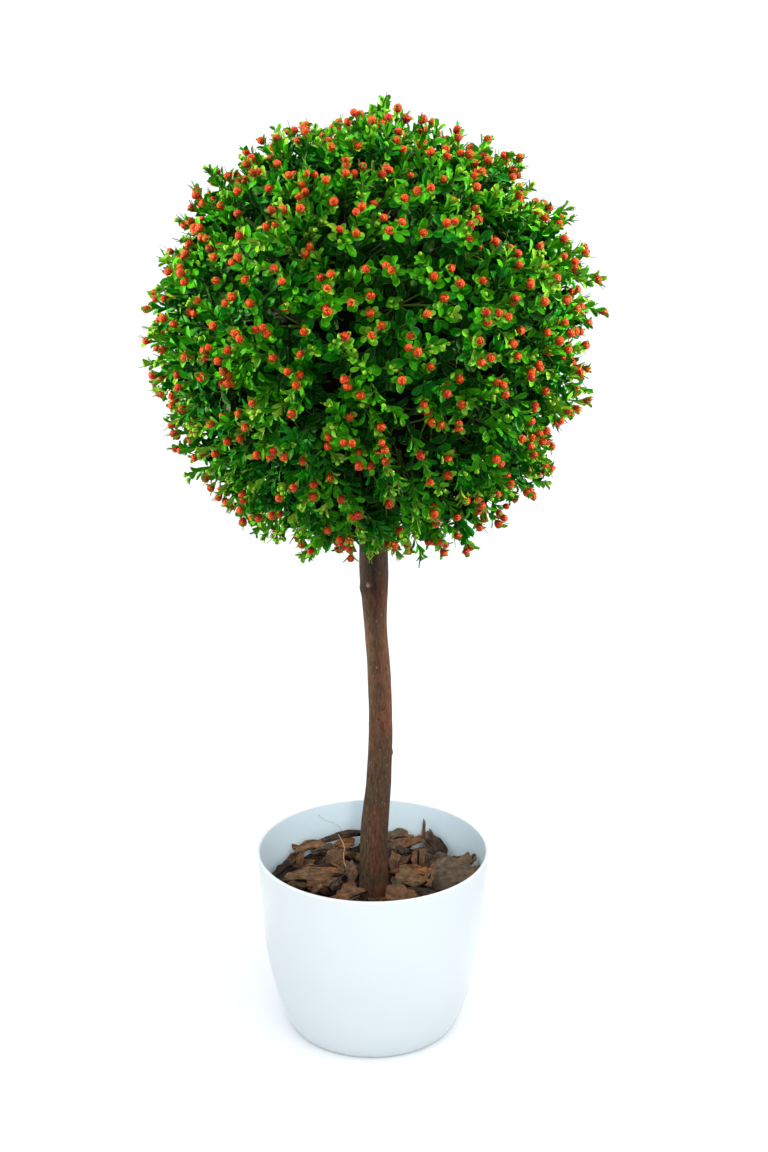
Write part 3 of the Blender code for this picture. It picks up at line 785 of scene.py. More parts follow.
def from_scar(height, angle, radius, scar):
    """How far a point of the bark is from a scar, in the scar's own radii."""
    turn = math.remainder(angle - math.radians(scar[1]), 2 * math.pi)
    return math.hypot(height - scar[0], turn * radius) / scar[2]


def bark_relief(height, angle, radius, settings):
    """How far the bark stands out of the trunk's round: long cracks, slow lumps and scars of shoots."""
    around = round_point(angle, radius)
    wide = noise.noise(around / (2.6 * settings.grain_width) + Vector((0, 0, height * 34)))
    fine = noise.noise(around / settings.grain_width + Vector((7, 3, height * 60)))
    lump = noise.noise(around / 0.016 + Vector((2, 9, height * 17)))
    relief = -settings.grain_depth * max(0, wide + 0.15) ** 0.8 * 0.8
    relief += settings.grain_depth * 0.28 * fine + 0.0007 * lump
    for scar in SHOOT_SCARS + BROKEN_SHOOTS:
        apart = from_scar(height, angle, radius, scar)
        if apart < 2.2:
            relief += scar[3] * (math.exp(-2.2 * apart**2) - 0.7 * math.exp(-22 * apart**2))
    return min(relief, RELIEF_LIMIT)


class TOPIARY_OT_stem(bpy.types.Operator):
    """Make the natural wood stem with its bark's relief"""

    bl_idname = "topiary.stem"
    bl_label = "Stem"

    def execute(self, context):
        settings = context.scene.topiary_stem
        foot, top = TRUNK_STATIONS[0][0], CROWN_HEIGHT - GAP
        points, bare = [], []
        for row in range(STEM_ROWS + 1):
            height = foot + (top - foot) * row / STEM_ROWS
            middle, radius = trunk_at(height)
            # The relief fades out where the stem stands in the cement
            buried = unit((height - CEMENT_TOP) / BURIAL_FADE)
            for side in range(STEM_SIDES):
                angle = 2 * math.pi * side / STEM_SIDES
                out = radius - STEM_INSET + buried * bark_relief(height, angle, radius, settings)
                points.append(middle + round_point(angle, out))
                apart = min(from_scar(height, angle, radius, shoot) for shoot in BROKEN_SHOOTS)
                bare.append(0.8 * math.exp(-3 * apart**2))
        faces = ring_faces(STEM_ROWS + 1, STEM_SIDES)
        faces.append(tuple(reversed(range(STEM_SIDES))))
        faces.append(tuple(range(STEM_ROWS * STEM_SIDES, (STEM_ROWS + 1) * STEM_SIDES)))
        mesh = mesh_of("stem_wood", points, faces)
        mark(mesh, "bare", bare)
        mesh.set_sharp_from_angle(angle=math.radians(70))
        mesh.materials.append(dried_bark(settings))
        shown("stem_wood", mesh, "trunk", slot="trunk")
        return {"FINISHED"}


# Bark

# Chips laid by hand: middle, heading, rise and roll in degrees, length, width, thickness, bow, and tone
LAID_CHIPS = {
    "back strip": (-0.071, 0.076, 0.1705, 16, 6, 24, 0.034, 0.017, 0.0045, 0.0030, "tan"),
    "back strip tail": (-0.037, 0.088, 0.1745, 8, 9, 20, 0.058, 0.008, 0.0045, 0.0060, "dark"),
    "left slab": (-0.063, 0.010, 0.1650, -4, 0, 22, 0.062, 0.036, 0.0060, 0.0045, "tan"),
    "slab fold": (-0.036, 0.003, 0.1640, 60, 2, -34, 0.036, 0.015, 0.0050, 0.0020, "dark"),
    "right plate": (0.085, 0.009, 0.1695, -16, 12, 30, 0.054, 0.060, 0.0034, 0.0030, "grey"),
    "plate fold": (0.062, 0.018, 0.1680, 76, 4, 52, 0.048, 0.011, 0.0034, 0.0020, "tan"),
    "upright flake": (0.068, 0.079, 0.1700, -46, -38, 24, 0.034, 0.022, 0.0035, 0.0020, "dark"),
    "striped chip": (0.045, 0.008, 0.1655, -12, -2, 26, 0.038, 0.024, 0.0055, 0.0040, "tan"),
    "under striped": (0.049, -0.016, 0.1610, -4, 0, 10, 0.036, 0.018, 0.0045, 0.0020, "dark"),
    "round chip": (0.031, 0.104, 0.1690, 6, 0, 26, 0.026, 0.022, 0.0070, 0.0040, "grey"),
    "light orange": (0.031, 0.090, 0.1690, 8, 4, 24, 0.025, 0.017, 0.0045, 0.0030, "red"),
    "front chip left": (-0.027, -0.035, 0.1660, 34, 10, 16, 0.038, 0.026, 0.0045, 0.0040, "red"),
    "front chip right": (0.029, -0.035, 0.1655, -32, -10, 16, 0.036, 0.026, 0.0045, 0.0040, "red"),
    "stem left": (-0.024, 0.012, 0.1670, 64, 40, 10, 0.026, 0.013, 0.0035, 0.0020, "red"),
    "stem left low": (-0.025, -0.008, 0.1620, 74, 14, 20, 0.024, 0.013, 0.0040, 0.0020, "red"),
    "stem right": (0.025, 0.050, 0.1660, 80, 30, 0, 0.020, 0.014, 0.0035, 0.0020, "red"),
    "stem right low": (0.026, 0.001, 0.1620, 96, 14, -14, 0.024, 0.012, 0.0040, 0.0020, "grey"),
    "orange chip": (-0.043, 0.054, 0.1670, 50, 26, 14, 0.030, 0.020, 0.0045, 0.0030, "red"),
    "dark chip": (-0.054, 0.070, 0.1675, 6, 4, 16, 0.028, 0.014, 0.0045, 0.0030, "dark"),
    "small orange": (-0.031, 0.084, 0.1690, 14, 8, 26, 0.020, 0.014, 0.0040, 0.0020, "red"),
    "brown strip": (0.042, 0.085, 0.1700, 20, 18, 20, 0.036, 0.009, 0.0040, 0.0030, "red"),
    "red behind stem": (0.026, 0.072, 0.1660, -34, 10, -10, 0.022, 0.015, 0.0040, 0.0020, "dark"),
    "tan upright": (0.050, 0.052, 0.1670, 84, 30, 14, 0.022, 0.018, 0.0040, 0.0020, "red"),
    "right middle": (0.042, 0.035, 0.1640, -30, 4, 16, 0.026, 0.014, 0.0045, 0.0020, "red"),
    "thin spike": (0.057, 0.096, 0.1820, 80, 80, 0, 0.026, 0.0042, 0.0024, 0.0010, "dark"),
    "forked tip": (0.107, 0.030, 0.1740, 40, 44, 0, 0.020, 0.010, 0.0028, 0.0010, "tan"),
    "right tip": (0.111, 0.006, 0.1740, 70, 30, 0, 0.019, 0.009, 0.0028, 0.0010, "grey"),
    "left upright": (-0.080, 0.050, 0.1670, 74, 50, 0, 0.019, 0.009, 0.0030, 0.0010, "red"),
    "left dark": (-0.099, 0.036, 0.1640, 48, 14, 14, 0.028, 0.012, 0.0045, 0.0020, "dark"),
    "left edge": (-0.100, -0.016, 0.1610, 76, 6, 10, 0.032, 0.018, 0.0045, 0.0020, "red"),
    "front left": (-0.062, -0.052, 0.1590, 32, 4, -8, 0.036, 0.022, 0.0050, 0.0020, "tan"),
    "front middle": (0.004, -0.074, 0.1580, -18, 2, 8, 0.038, 0.024, 0.0050, 0.0030, "grey"),
    "front right": (0.064, -0.052, 0.1590, -40, 4, 8, 0.036, 0.020, 0.0050, 0.0020, "red"),
    "right low": (0.090, -0.030, 0.1620, 70, 8, 12, 0.034, 0.022, 0.0050, 0.0030, "tan"),
    "back left": (-0.088, 0.066, 0.1610, 48, 10, 8, 0.022, 0.014, 0.0040, 0.0020, "red"),
    "back middle": (-0.004, 0.062, 0.1640, -30, 6, 10, 0.032, 0.020, 0.0045, 0.0020, "red"),
    "back rim": (0.004, 0.100, 0.1660, 4, 8, 14, 0.034, 0.016, 0.0050, 0.0030, "grey"),
    "right back": (0.094, 0.050, 0.1640, 66, 10, -10, 0.028, 0.018, 0.0045, 0.0020, "dark"),
    "left middle": (-0.030, 0.036, 0.1620, -50, 8, 6, 0.028, 0.019, 0.0045, 0.0020, "grey"),
}
# How far the layers stand out on the chips of each tone
RIDGES = {"red": 0.26, "tan": 0.42, "grey": 0.10, "dark": 0.24}
# Fibres torn off the chips: radius, then points along each
FIBRES = (
    (0.00016, (-0.0608, 0.1020, 0.1990), (-0.0598, 0.1026, 0.1957), (-0.0537, 0.1061, 0.1891),
     (-0.0443, 0.1102, 0.1840), (-0.0380, 0.1125, 0.1784), (-0.0353, 0.1134, 0.1725)),
    (0.00055, (-0.0385, 0.0771, 0.1857), (-0.0335, 0.0634, 0.1827), (-0.0311, 0.0532, 0.1807),
     (-0.0324, 0.0396, 0.1787), (-0.0315, 0.0262, 0.1767), (-0.0291, 0.0217, 0.1737)),
)
CHIP_CLEARANCE = 0.0008
STEM_CLEARANCE = 0.0012
LITTER_RING = ((0.034, 0.1550), (0.060, 0.1560), (0.098, 0.1575))
LITTER_SIDES, BED_SIDES = 48, 96
# Thin chips take fewer faces along and across
THIN_CHIP, THIN_DETAIL, CHIP_DETAIL = 0.006, (12, 4), (36, 24)
SCRAP_COUNT, SCRAP_THICKNESS, SCRAP_BOW, SCRAP_DETAIL = 9, 0.0042, 0.002, (8, 5)


def flake(length, width, thickness, bow, rng, columns, rows, ridges=0.30):
    """A split flake of bark about the origin, with its length along X and its grain in its UV map."""
    shift = Vector([rng.uniform(0, 90) for _ in range(3)])
    slants = rng.uniform(-0.45, 0.45), rng.uniform(-0.45, 0.45)
    gutter = rng.uniform(-0.10, 0.16) * width
    tapers = rng.uniform(0.25, 0.95), rng.uniform(0.25, 0.95)
    sides = [[rng.uniform(0.60, 1.20) for _ in range(6)] for _ in range(2)]

    def rough(*place):
        """Noise of this chip's own at a place."""
        return noise.noise(shift + Vector(place))

    top, bottom, grain, edges = [], [], [], []
    for column in range(columns + 1):
        along = column / columns - 0.5
        end = abs(2 * along)
        taper = 1 - (1 - tapers[along > 0]) * end**2.5
        for row in range(rows + 1):
            across = row / rows - 0.5
            # The sides run from break to break, and the strands at the ends tear at different lengths
            spot = min((along + 0.5) * 5, 4.999)
            breaks = sides[across > 0]
            wander = breaks[int(spot)] * (1 - spot % 1) + breaks[int(spot) + 1] * (spot % 1)
            strand = math.floor(across * 5.5 + 0.5)
            tear = 0.13 * length * rough(strand * 1.7, 3, 2 if along > 0 else 6)
            slant = slants[along > 0] * width * across
            place = Vector((length * along + (tear + slant) * end**4, width * across * taper * wander, 0))
            ridge = rough(place.x * 20, place.y * 160, 0)
            step = rough(place.x * 22, place.y * 80, 5)
            layers = unit((step - 0.02) * 9) + unit((step + 0.28) * 9)
            relief = ridges * thickness * (1 - abs(2.6 * ridge)) + 0.32 * thickness * layers
            place.z = bow * (1 - 4 * along**2) + gutter * 4 * across**2 + relief
            thinned = thickness * (0.35 + 0.65 * (1 - abs(2 * across) ** 4) * (1 - end**6))
            top.append(place)
            under = 0.25 * thickness * rough(place.x * 40, place.y * 160, 9)
            bottom.append(place - Vector((0, 0, thinned + relief * 0.6 + under)))
            grain.append((place.x + shift.x, place.y + shift.y))
            edges.append(max(end, abs(2 * across)) ** 3)
    count, step = len(top), rows + 1
    faces = []
    for here in (column * step + row for column in range(columns) for row in range(rows)):
        there = here + step
        faces.append((here, there, there + 1, here + 1))
        faces.append((count + here + 1, count + there + 1, count + there, count + here))
    rim = [column * step for column in range(columns + 1)]
    rim += [columns * step + row for row in range(1, rows + 1)]
    rim += [column * step + rows for column in range(columns - 1, -1, -1)]
    rim += range(rows - 1, 0, -1)
    for here, there in zip(rim, rim[1:] + rim[:1]):
        faces.append((there, here, here + count, there + count))
    mesh = mesh_of("flake", top + bottom, faces)
    lay_map(mesh, "grain", grain * 2)
    mark(mesh, "edge", edges * 2)
    return mesh


def inside_planter(mesh):
    """Draws any point of a chip that would meet the wall or the stem back to where it is clear."""
    for point in mesh.vertices:
        place = point.co
        most = inner_radius(place.z) - CHIP_CLEARANCE
        out = math.hypot(place.x, place.y)
        if out > most:
            place.x *= most / out
            place.y *= most / out
        middle, radius = trunk_at(place.z)
        off = Vector((place.x - middle.x, place.y - middle.y, 0))
        if off.length < radius + STEM_CLEARANCE:
            off = off.normalized() * (radius + STEM_CLEARANCE)
            place.x, place.y = middle.x + off.x, middle.y + off.y


def laid_chips(tone, seed):
    """The chips of one tone that are laid by hand."""
    meshes = []
    for number, chip in enumerate(LAID_CHIPS.values()):
        x, y, z, heading, rise, roll, length, width, thickness, bow, own_tone = chip
        if own_tone != tone:
            continue
        rng = random.Random(seed * 100 + number)
        detail = CHIP_DETAIL if width > THIN_CHIP else THIN_DETAIL
        mesh = flake(length, width, thickness, bow, rng, *detail, RIDGES[tone])
        lay = Matrix.Translation((x, y, z)) @ Matrix.Rotation(math.radians(heading), 4, "Z")
        lay = lay @ Matrix.Rotation(math.radians(-rise), 4, "Y")
        mesh.transform(lay @ Matrix.Rotation(math.radians(roll), 4, "X"))
        inside_planter(mesh)
        meshes.append(mesh)
    return meshes


def bed_surface(point):
    """Lumps in the settled fines under the chips."""
    if point.z > CEMENT_TOP + 0.02:
        lump = noise.noise(point * 55) * 0.0035 + noise.noise(point * 170) * 0.0015
        point.z = min(point.z + lump, BED_TOP + 0.002)
    return point


def loose_fibre(radius, places, finish):
    """A thread of bast through some points."""
    strand = mesh_of("fibre", places, [], [(i, i + 1) for i in range(len(places) - 1)])
    mark(strand, "radius", [radius] * len(places))
    return grown("fibre", strand, tube_tree(), Sides=6, Finish=finish)


class TOPIARY_OT_bark(bpy.types.Operator):
    """Lay the bark chips and the fines under them"""

    bl_idname = "topiary.bark"
    bl_label = "Bark chips"

    def execute(self, context):
        settings = context.scene.topiary_bark
        # For each tone: its name, its light colour, where its bands split, their contrast, and its breaks
        finishes = {
            "red": ("chipped red", settings.red, 0.40, 0.5, settings.inner),
            "tan": ("chipped tan", settings.tan, 0.45, 0.6, settings.inner),
            "grey": ("weathered", settings.grey, 0.34, 0.25, settings.tan),
            "dark": ("damp", settings.damp, 0.42, 0.5, settings.grey),
        }
        for tone, (name, *look) in finishes.items():
            finishes[tone] = chip_bark("Pine bark " + name, *look, settings.dark, settings.fibre)
        low, high = CEMENT_TOP + GAP, BED_TOP - 0.002
        hole = trunk_at(high)[1] + CHIP_CLEARANCE
        profile = [(hole, low), (inner_radius(low) - 2 * GAP, low)]
        profile += [(inner_radius(z) - CHIP_CLEARANCE, z) for z in (0.125, 0.138, high)]
        profile += [(radius / 1000, high) for radius in range(112, 23, -8)]
        bed = turned("bark_fines", [*profile, (hole, high)], BED_SIDES, uneven=bed_surface)
        bed.materials.append(bark_fines(settings))
        shown("bark_fines", bed, "bark_bed", slot="bark")

        rng = random.Random(settings.seed)
        sizes = [(rng.uniform(0.015, 0.032), rng.uniform(0.35, 0.7)) for _ in range(SCRAP_COUNT)]
        scrap = SCRAP_THICKNESS, SCRAP_BOW, rng, *SCRAP_DETAIL
        scraps = templates("scrap", [flake(size, size * share, *scrap) for size, share in sizes])
        tree = litter_tree()
        strewn = {"Shapes": scraps, "Density": float(settings.litter), "Tip": 0.55, "Lift": 0.005}
        for number, (tone, finish) in enumerate(finishes.items()):
            faces = ring_faces(len(LITTER_RING), LITTER_SIDES)
            ground = mesh_of("litter ground", rings(LITTER_RING, LITTER_SIDES), faces)
            piece, seed = f"bark_litter_{tone}", settings.seed + number
            litter = grown(piece, ground, tree, **strewn, Seed=seed, Finish=finish)
            inside_planter(litter)
            shown(piece, litter, "bark_bed", slot="bark")
            chips = joined(f"bark_chips_{tone}", laid_chips(tone, settings.seed))
            chips.materials.append(finish)
            chips.set_sharp_from_angle(angle=math.radians(50))
            shown(f"bark_chips_{tone}", chips, "bark_bed", slot="bark")
        put_away(scraps)
        torn = torn_fibre(settings)
        loose = joined("bark_fibres", [loose_fibre(radius, places, torn) for radius, *places in FIBRES])
        loose.materials.append(torn)
        shown("bark_fibres", loose, "bark_bed", slot="bark")
        return {"FINISHED"}


# Crown


def ball_direction(level, around):
    """A direction from the ball's middle, by its height share and its angle round Z."""
    return round_point(around, math.sqrt(1 - level**2), level)


def sprays():
    """Each spray's direction: even over the ball by the golden angle, then nudged at random."""
    rng = random.Random(CROWN_SEED)
    found = []
    for number in range(SPRAY_COUNT):
        level = 1 - (2 * number + 1) / SPRAY_COUNT
        level = math.copysign(EQUATOR_MARGIN + (1 - EQUATOR_MARGIN) * abs(level), level)
        around = number * GOLDEN_ANGLE + rng.uniform(-SPRAY_NUDGE, SPRAY_NUDGE)
        found.append(ball_direction(level, around))
        # The solids' tufts take a reach and a turn here, so the choices stay in step with theirs
        rng.uniform(*CROWN_REACH)
        rng.uniform(0, 2 * math.pi)
    return found


def bezier(a, b, c, d, t):
    """A point on the curve that runs from a to d and bends towards b and c."""
    u = 1 - t
    return a * u**3 + b * 3 * u**2 * t + c * 3 * u * t**2 + d * t**3


class Growth:
    """What has grown so far: places for each kind of leaf and fruit, and the lines that tubes follow."""

    def __init__(self):
        self.places = {}
        self.lines = []

    def put(self, kind, where, along, up, size):
        """A shape with its length along one way and its face as near to another as that allows."""
        across = along.cross(up).normalized()
        face = across.cross(along)
        turn = Matrix((across, along, face)).transposed().to_euler()
        self.places.setdefault(kind, []).append((where, turn, size))

    def line(self, points, radii):
        """A line for a tube that tapers from one radius to the other."""
        last = len(points) - 1
        taper = [radii[0] + (radii[1] - radii[0]) * i / last for i in range(last + 1)]
        self.lines.append((points, taper))

    def carrier(self, kind):
        """The places of one kind as a mesh of points with their turns and sizes."""
        spots, turns, sizes = zip(*self.places[kind])
        mesh = mesh_of(kind, spots, [])
        mark(mesh, "turn", [angle for turn in turns for angle in turn], "FLOAT_VECTOR")
        mark(mesh, "size", sizes)
        return mesh

    def line_carrier(self):
        """All the lines as one mesh of edges, with the tubes' radii on its points."""
        points, edges, radii = [], [], []
        for line, taper in self.lines:
            start = len(points)
            points += line
            radii += taper
            edges += [(start + i, start + i + 1) for i in range(len(line) - 1)]
        mesh = mesh_of("lines", points, [], edges)
        mark(mesh, "radius", radii)
        return mesh


def clear_of_trunk(point, margin=TRUNK_CLEARANCE):
    """Whether a point keeps its distance from the trunk."""
    middle, radius = trunk_at(point.z)
    return point.z > CROWN_HEIGHT or math.hypot(point.x - middle.x, point.y - middle.y) > radius + margin


# Tones by spray: inner leaves, old leaves, full-grown leaves, leaflets
SPRAY_TONES = (
    ("forest", "deep", "middle", "fresh"),
    ("forest", "deep", "middle", "lime"),
    ("forest", "bluish", "middle", "fresh"),
    ("forest", "deep", "fresh", "lime"),
    ("forest", "forest", "middle", "middle"),
    ("forest", "deep", "middle", "fresh"),
    ("forest", "bluish", "deep", "lime"),
    ("deep", "middle", "middle", "yellow"),
)
# Leaf pairs up a twig: distance from the tip, splay from the twig in radians, share of full size, and age
TWIG_PAIRS = (
    (0.0610, 1.15, 1.15, 0),
    (0.0535, 1.00, 1.12, 0),
    (0.0460, 0.90, 1.06, 1),
    (0.0385, 0.80, 1.02, 1),
    (0.0310, 0.70, 0.96, 2),
    (0.0235, 0.60, 0.84, 2),
    (0.0165, 0.54, 0.70, 3),
)


def spun(vector, angle, axis):
    """A vector turned about an axis."""
    return Matrix.Rotation(angle, 3, axis) @ vector


def spun_by(vector, most, axis, rng, start=0.0):
    """A vector turned about an axis, from a start and by up to so much either way."""
    return spun(vector, start + rng.uniform(-most, most), axis)


def any_side(way, rng):
    """A way across another, any way round."""
    return spun(way.orthogonal().normalized(), rng.uniform(0, ROUND), way)


def leaning(way, out, lean):
    """A way that leans outwards from a twig, and what is up for a leaf that lies along it."""
    along = (way * math.cos(lean) + out * math.sin(lean)).normalized()
    return along, way * math.sin(lean) - out * math.cos(lean)


def leaf_pair(growth, where, way, side, splay, size, kind, rng):
    """Two leaves that face each other across the twig."""
    for out in (side, -side):
        along, up = leaning(way, out, splay + rng.uniform(-0.22, 0.22))
        up = spun_by(up, 0.4, along, rng)
        if clear_of_trunk(where + along * size * LEAF_REACH):
            growth.put(kind, where, along, up, size * rng.uniform(0.88, 1.10))


def grow_tip(growth, tip, way, tones, settings, rng):
    """What a twig ends in: a ring of leaflets round a berry or buds, and thin spikes."""
    side = any_side(way, rng)
    young = rng.choice((tones[3], tones[3], "middle", "fresh", "lime"))
    leaflets = rng.choice((2, 2, 3, 3))
    for number in range(leaflets):
        out = spun_by(side, 0.3, way, rng, ROUND * number / leaflets)
        along, up = leaning(way, out, rng.uniform(0.30, 0.85))
        up = spun_by(up, 0.5, along, rng)
        back = rng.uniform(0.0095, 0.0135)
        growth.put(young, tip - way * back, along, up, rng.uniform(0.50, 0.78))
    middle = tip - way * BERRY_DEPTH
    if rng.random() < settings.berry_share:
        ripe = "red" if rng.random() < RED_SHARE else "orange"
        growth.put("berry " + ripe, middle, side, way, rng.uniform(0.90, 1.06))
        if rng.random() < TWIN_SHARE:
            branch = leaning(way, -side, rng.uniform(0.6, 1.0))[0]
            end = middle - way * 0.009 + branch * 0.0115
            growth.line([middle - way * 0.010, end], (0.0006, 0.0005))
            growth.put("berry orange", end, branch.orthogonal().normalized(), branch, rng.uniform(0.8, 0.95))
    else:
        for number in range(rng.choice((0, 1, 1, 2, 3))):
            out = spun_by(side, 0.4, way, rng, 2.1 * number)
            branch = (way + out * rng.uniform(0.25, 0.6)).normalized()
            end = middle - way * 0.004 + branch * rng.uniform(0.005, 0.009)
            growth.line([middle - way * 0.004, end], (0.00045, 0.00035))
            growth.put("bud", end, branch.orthogonal().normalized(), branch, rng.uniform(0.8, 1.15))
    bundle = spun(side, rng.uniform(0, ROUND), way)
    for number in range(rng.choice((0, 1, 1, 2, 3, 4))):
        spread = spun_by(bundle, 0.5, way, rng)
        spike = (way + spread * rng.uniform(0.35, 0.75)).normalized()
        base = tip - way * 0.012
        growth.line([base, base + spike * rng.uniform(0.012, 0.0165)], (0.00068, 0.00030))


def grow_twig(growth, stem_way, lean, direction, reach, tones, settings, rng):
    """A twig that leaves its main stem, turns outwards, and carries pairs of leaves up to its tip."""
    centre = Vector((0, 0, CROWN_HEIGHT))
    tip = centre + direction * reach
    swing = shaken(rng, TIP_LEAN) + lean
    way = (direction + swing - direction * swing.dot(direction)).normalized()
    root = centre + stem_way * rng.uniform(FRAME_RADIUS + 0.003, STEM_END - 0.030)
    knee = tip - way * LEAFY_LENGTH
    bend = (root - centre).normalized() * 0.012
    line = [bezier(root, root + bend, knee - way * 0.010, knee, t / 4) for t in range(5)]
    line += [tip - way * LEAFY_LENGTH * share for share in (0.6, 0.3)]
    line.append(tip - way * (BERRY_DEPTH + 0.0035))
    if not all(clear_of_trunk(point) for point in line):
        return
    growth.line(line, TWIG_RADII)
    side = any_side(way, rng)
    for back, splay, size, age in TWIG_PAIRS:
        side = spun_by(side, 0.25, way, rng, math.pi / 2)
        leaf_pair(growth, tip - way * back, way, side, splay, size, tones[age], rng)
    grow_tip(growth, tip, way, tones, settings, rng)


def grow_inner_twig(growth, root, way, rng):
    """A short twig close to the ball's frame with two pairs of old leaves, which closes the view inwards."""
    tip = root + way * rng.uniform(0.026, 0.040)
    if not clear_of_trunk(tip, INNER_CLEARANCE):
        return
    growth.line([root, tip], TWIG_RADII)
    side = way.orthogonal().normalized()
    for back in (0.013, 0.0):
        side = spun_by(side, 0.4, way, rng, math.pi / 2)
        leaf_pair(growth, tip - way * back, way, side, rng.uniform(0.9, 1.3), 1.25, "forest", rng)


def even_direction(number, count):
    """One of a number of directions spread evenly over the ball by the golden angle."""
    return ball_direction(1 - (2 * number + 1) / count, number * GOLDEN_ANGLE)


def nearest(ways, direction):
    """The number of the way that points most like a direction."""
    return max(range(len(ways)), key=lambda i: ways[i].dot(direction))


def shaken(rng, spread):
    """A small random offset, alike in all directions."""
    return Vector([rng.gauss(0, 1) for _ in range(3)]) * spread


def grow_crown(settings):
    """All the twigs of the ball: each gathers to its nearest sprig, and leaves that sprig's main stem."""
    growth = Growth()
    rng = random.Random(settings.seed)
    centre = Vector((0, 0, CROWN_HEIGHT))
    main_ways = sprays()
    for way in main_ways:
        growth.line([centre + way * out for out in (FRAME_RADIUS - 0.002, 0.17, STEM_END)], STEM_RADII)
    sprigs = []
    for number in range(SPRIG_COUNT):
        middle = (even_direction(number, SPRIG_COUNT) + shaken(rng, 0.035)).normalized()
        home = nearest(main_ways, middle)
        tones = SPRAY_TONES[(home * 5 + rng.choice((0, 0, 1, 2, 3))) % len(SPRAY_TONES)]
        reach = rng.triangular(*TIP_REACH)
        sprigs.append((middle, main_ways[home], reach, shaken(rng, SPRIG_LEAN), tones))
    for number in range(INNER_TWIGS):
        way = (even_direction(number, INNER_TWIGS) + shaken(rng, 0.05)).normalized()
        grow_inner_twig(growth, centre + way * FRAME_RADIUS, (way + shaken(rng, 0.25)).normalized(), rng)
    middles = [sprig[0] for sprig in sprigs]
    for number in range(settings.twigs):
        direction = (even_direction(number, settings.twigs) + shaken(rng, 0.036)).normalized()
        middle, stem_way, reach, lean, tones = sprigs[nearest(middles, direction)]
        off = (direction - middle).length
        direction = direction.lerp(middle, SPRIG_GATHER).normalized()
        reach = min(reach + rng.gauss(0, TIP_SCATTER) - SPRIG_DOME * off**2, TIP_LIMIT)
        reach -= TIP_SAG * direction.z
        grow_twig(growth, stem_way, lean, direction, reach, tones, settings, rng)
    return growth


# A leaf's outline: share of its length, and half its width there
LEAF_OUTLINE = ((0.0, 0.05), (0.20, 0.13), (0.42, 0.35), (0.64, 0.49), (0.84, 0.47), (0.96, 0.28))
# How far a leaf folds up from its midrib, and how far it curls back at its tip
LEAF_BENDS = ((0.50, 0.16), (0.85, -0.10), (0.65, 0.30), (0.40, 0.05))
# A berry's section as shares of its width, from its stalk up
BERRY_SECTION = (
    (0, -0.58), (0.24, -0.50), (0.42, -0.24), (0.50, 0.06), (0.44, 0.30), (0.26, 0.45), (0, 0.50)
)


def leaf_shape(length, width, fold, curl):
    """A leaf from the origin along Y, folded up from its midrib and curled back at its tip."""
    points, blade = [], []
    for along, half in LEAF_OUTLINE:
        drop = -curl * length * along**2
        for across in (-1, 0, 1):
            points.append((across * half * width, along * length, drop + abs(across) * half * fold * width))
            blade.append((0.5 + across * 0.5, along))
    points.append((0, length, -curl * length))
    blade.append((0.5, 1))
    starts = range(0, 3 * len(LEAF_OUTLINE) - 3, 3)
    faces = [(i, i + 1, i + 4, i + 3) for here in starts for i in (here, here + 1)]
    last, tip = len(points) - 4, len(points) - 1
    mesh = mesh_of("leaf", points, [*faces, (last, last + 1, tip), (last + 1, last + 2, tip)])
    lay_map(mesh, "blade", blade)
    return mesh


def berry_shape(width):
    """A berry about the origin, narrow where it sits on its stalk below and round on top."""
    mesh = pole_capped("berry", [(r * width, h * width) for r, h in BERRY_SECTION], 9)
    # The map's second way runs up the berry, from its stalk to its top
    lay_map(mesh, "blade", [(0.5, point.co.z / width + 0.5) for point in mesh.vertices])
    return mesh


# The roughness of each green's leaves
LEAF_ROUGHNESS = {
    "deep": 0.30, "forest": 0.28, "middle": 0.32, "fresh": 0.34, "bluish": 0.26, "lime": 0.38, "yellow": 0.40
}
MASSES = ("foliage_upper", "foliage_lower")
# How much paler a leaf's rim is, and the shares of a berry's colour that its pits keep
RIM_GAIN, RIM_LIFT = 1.5, (0.030, 0.034, 0.014)
PIT_SHARES = (0.30, 0.13, 0.30)


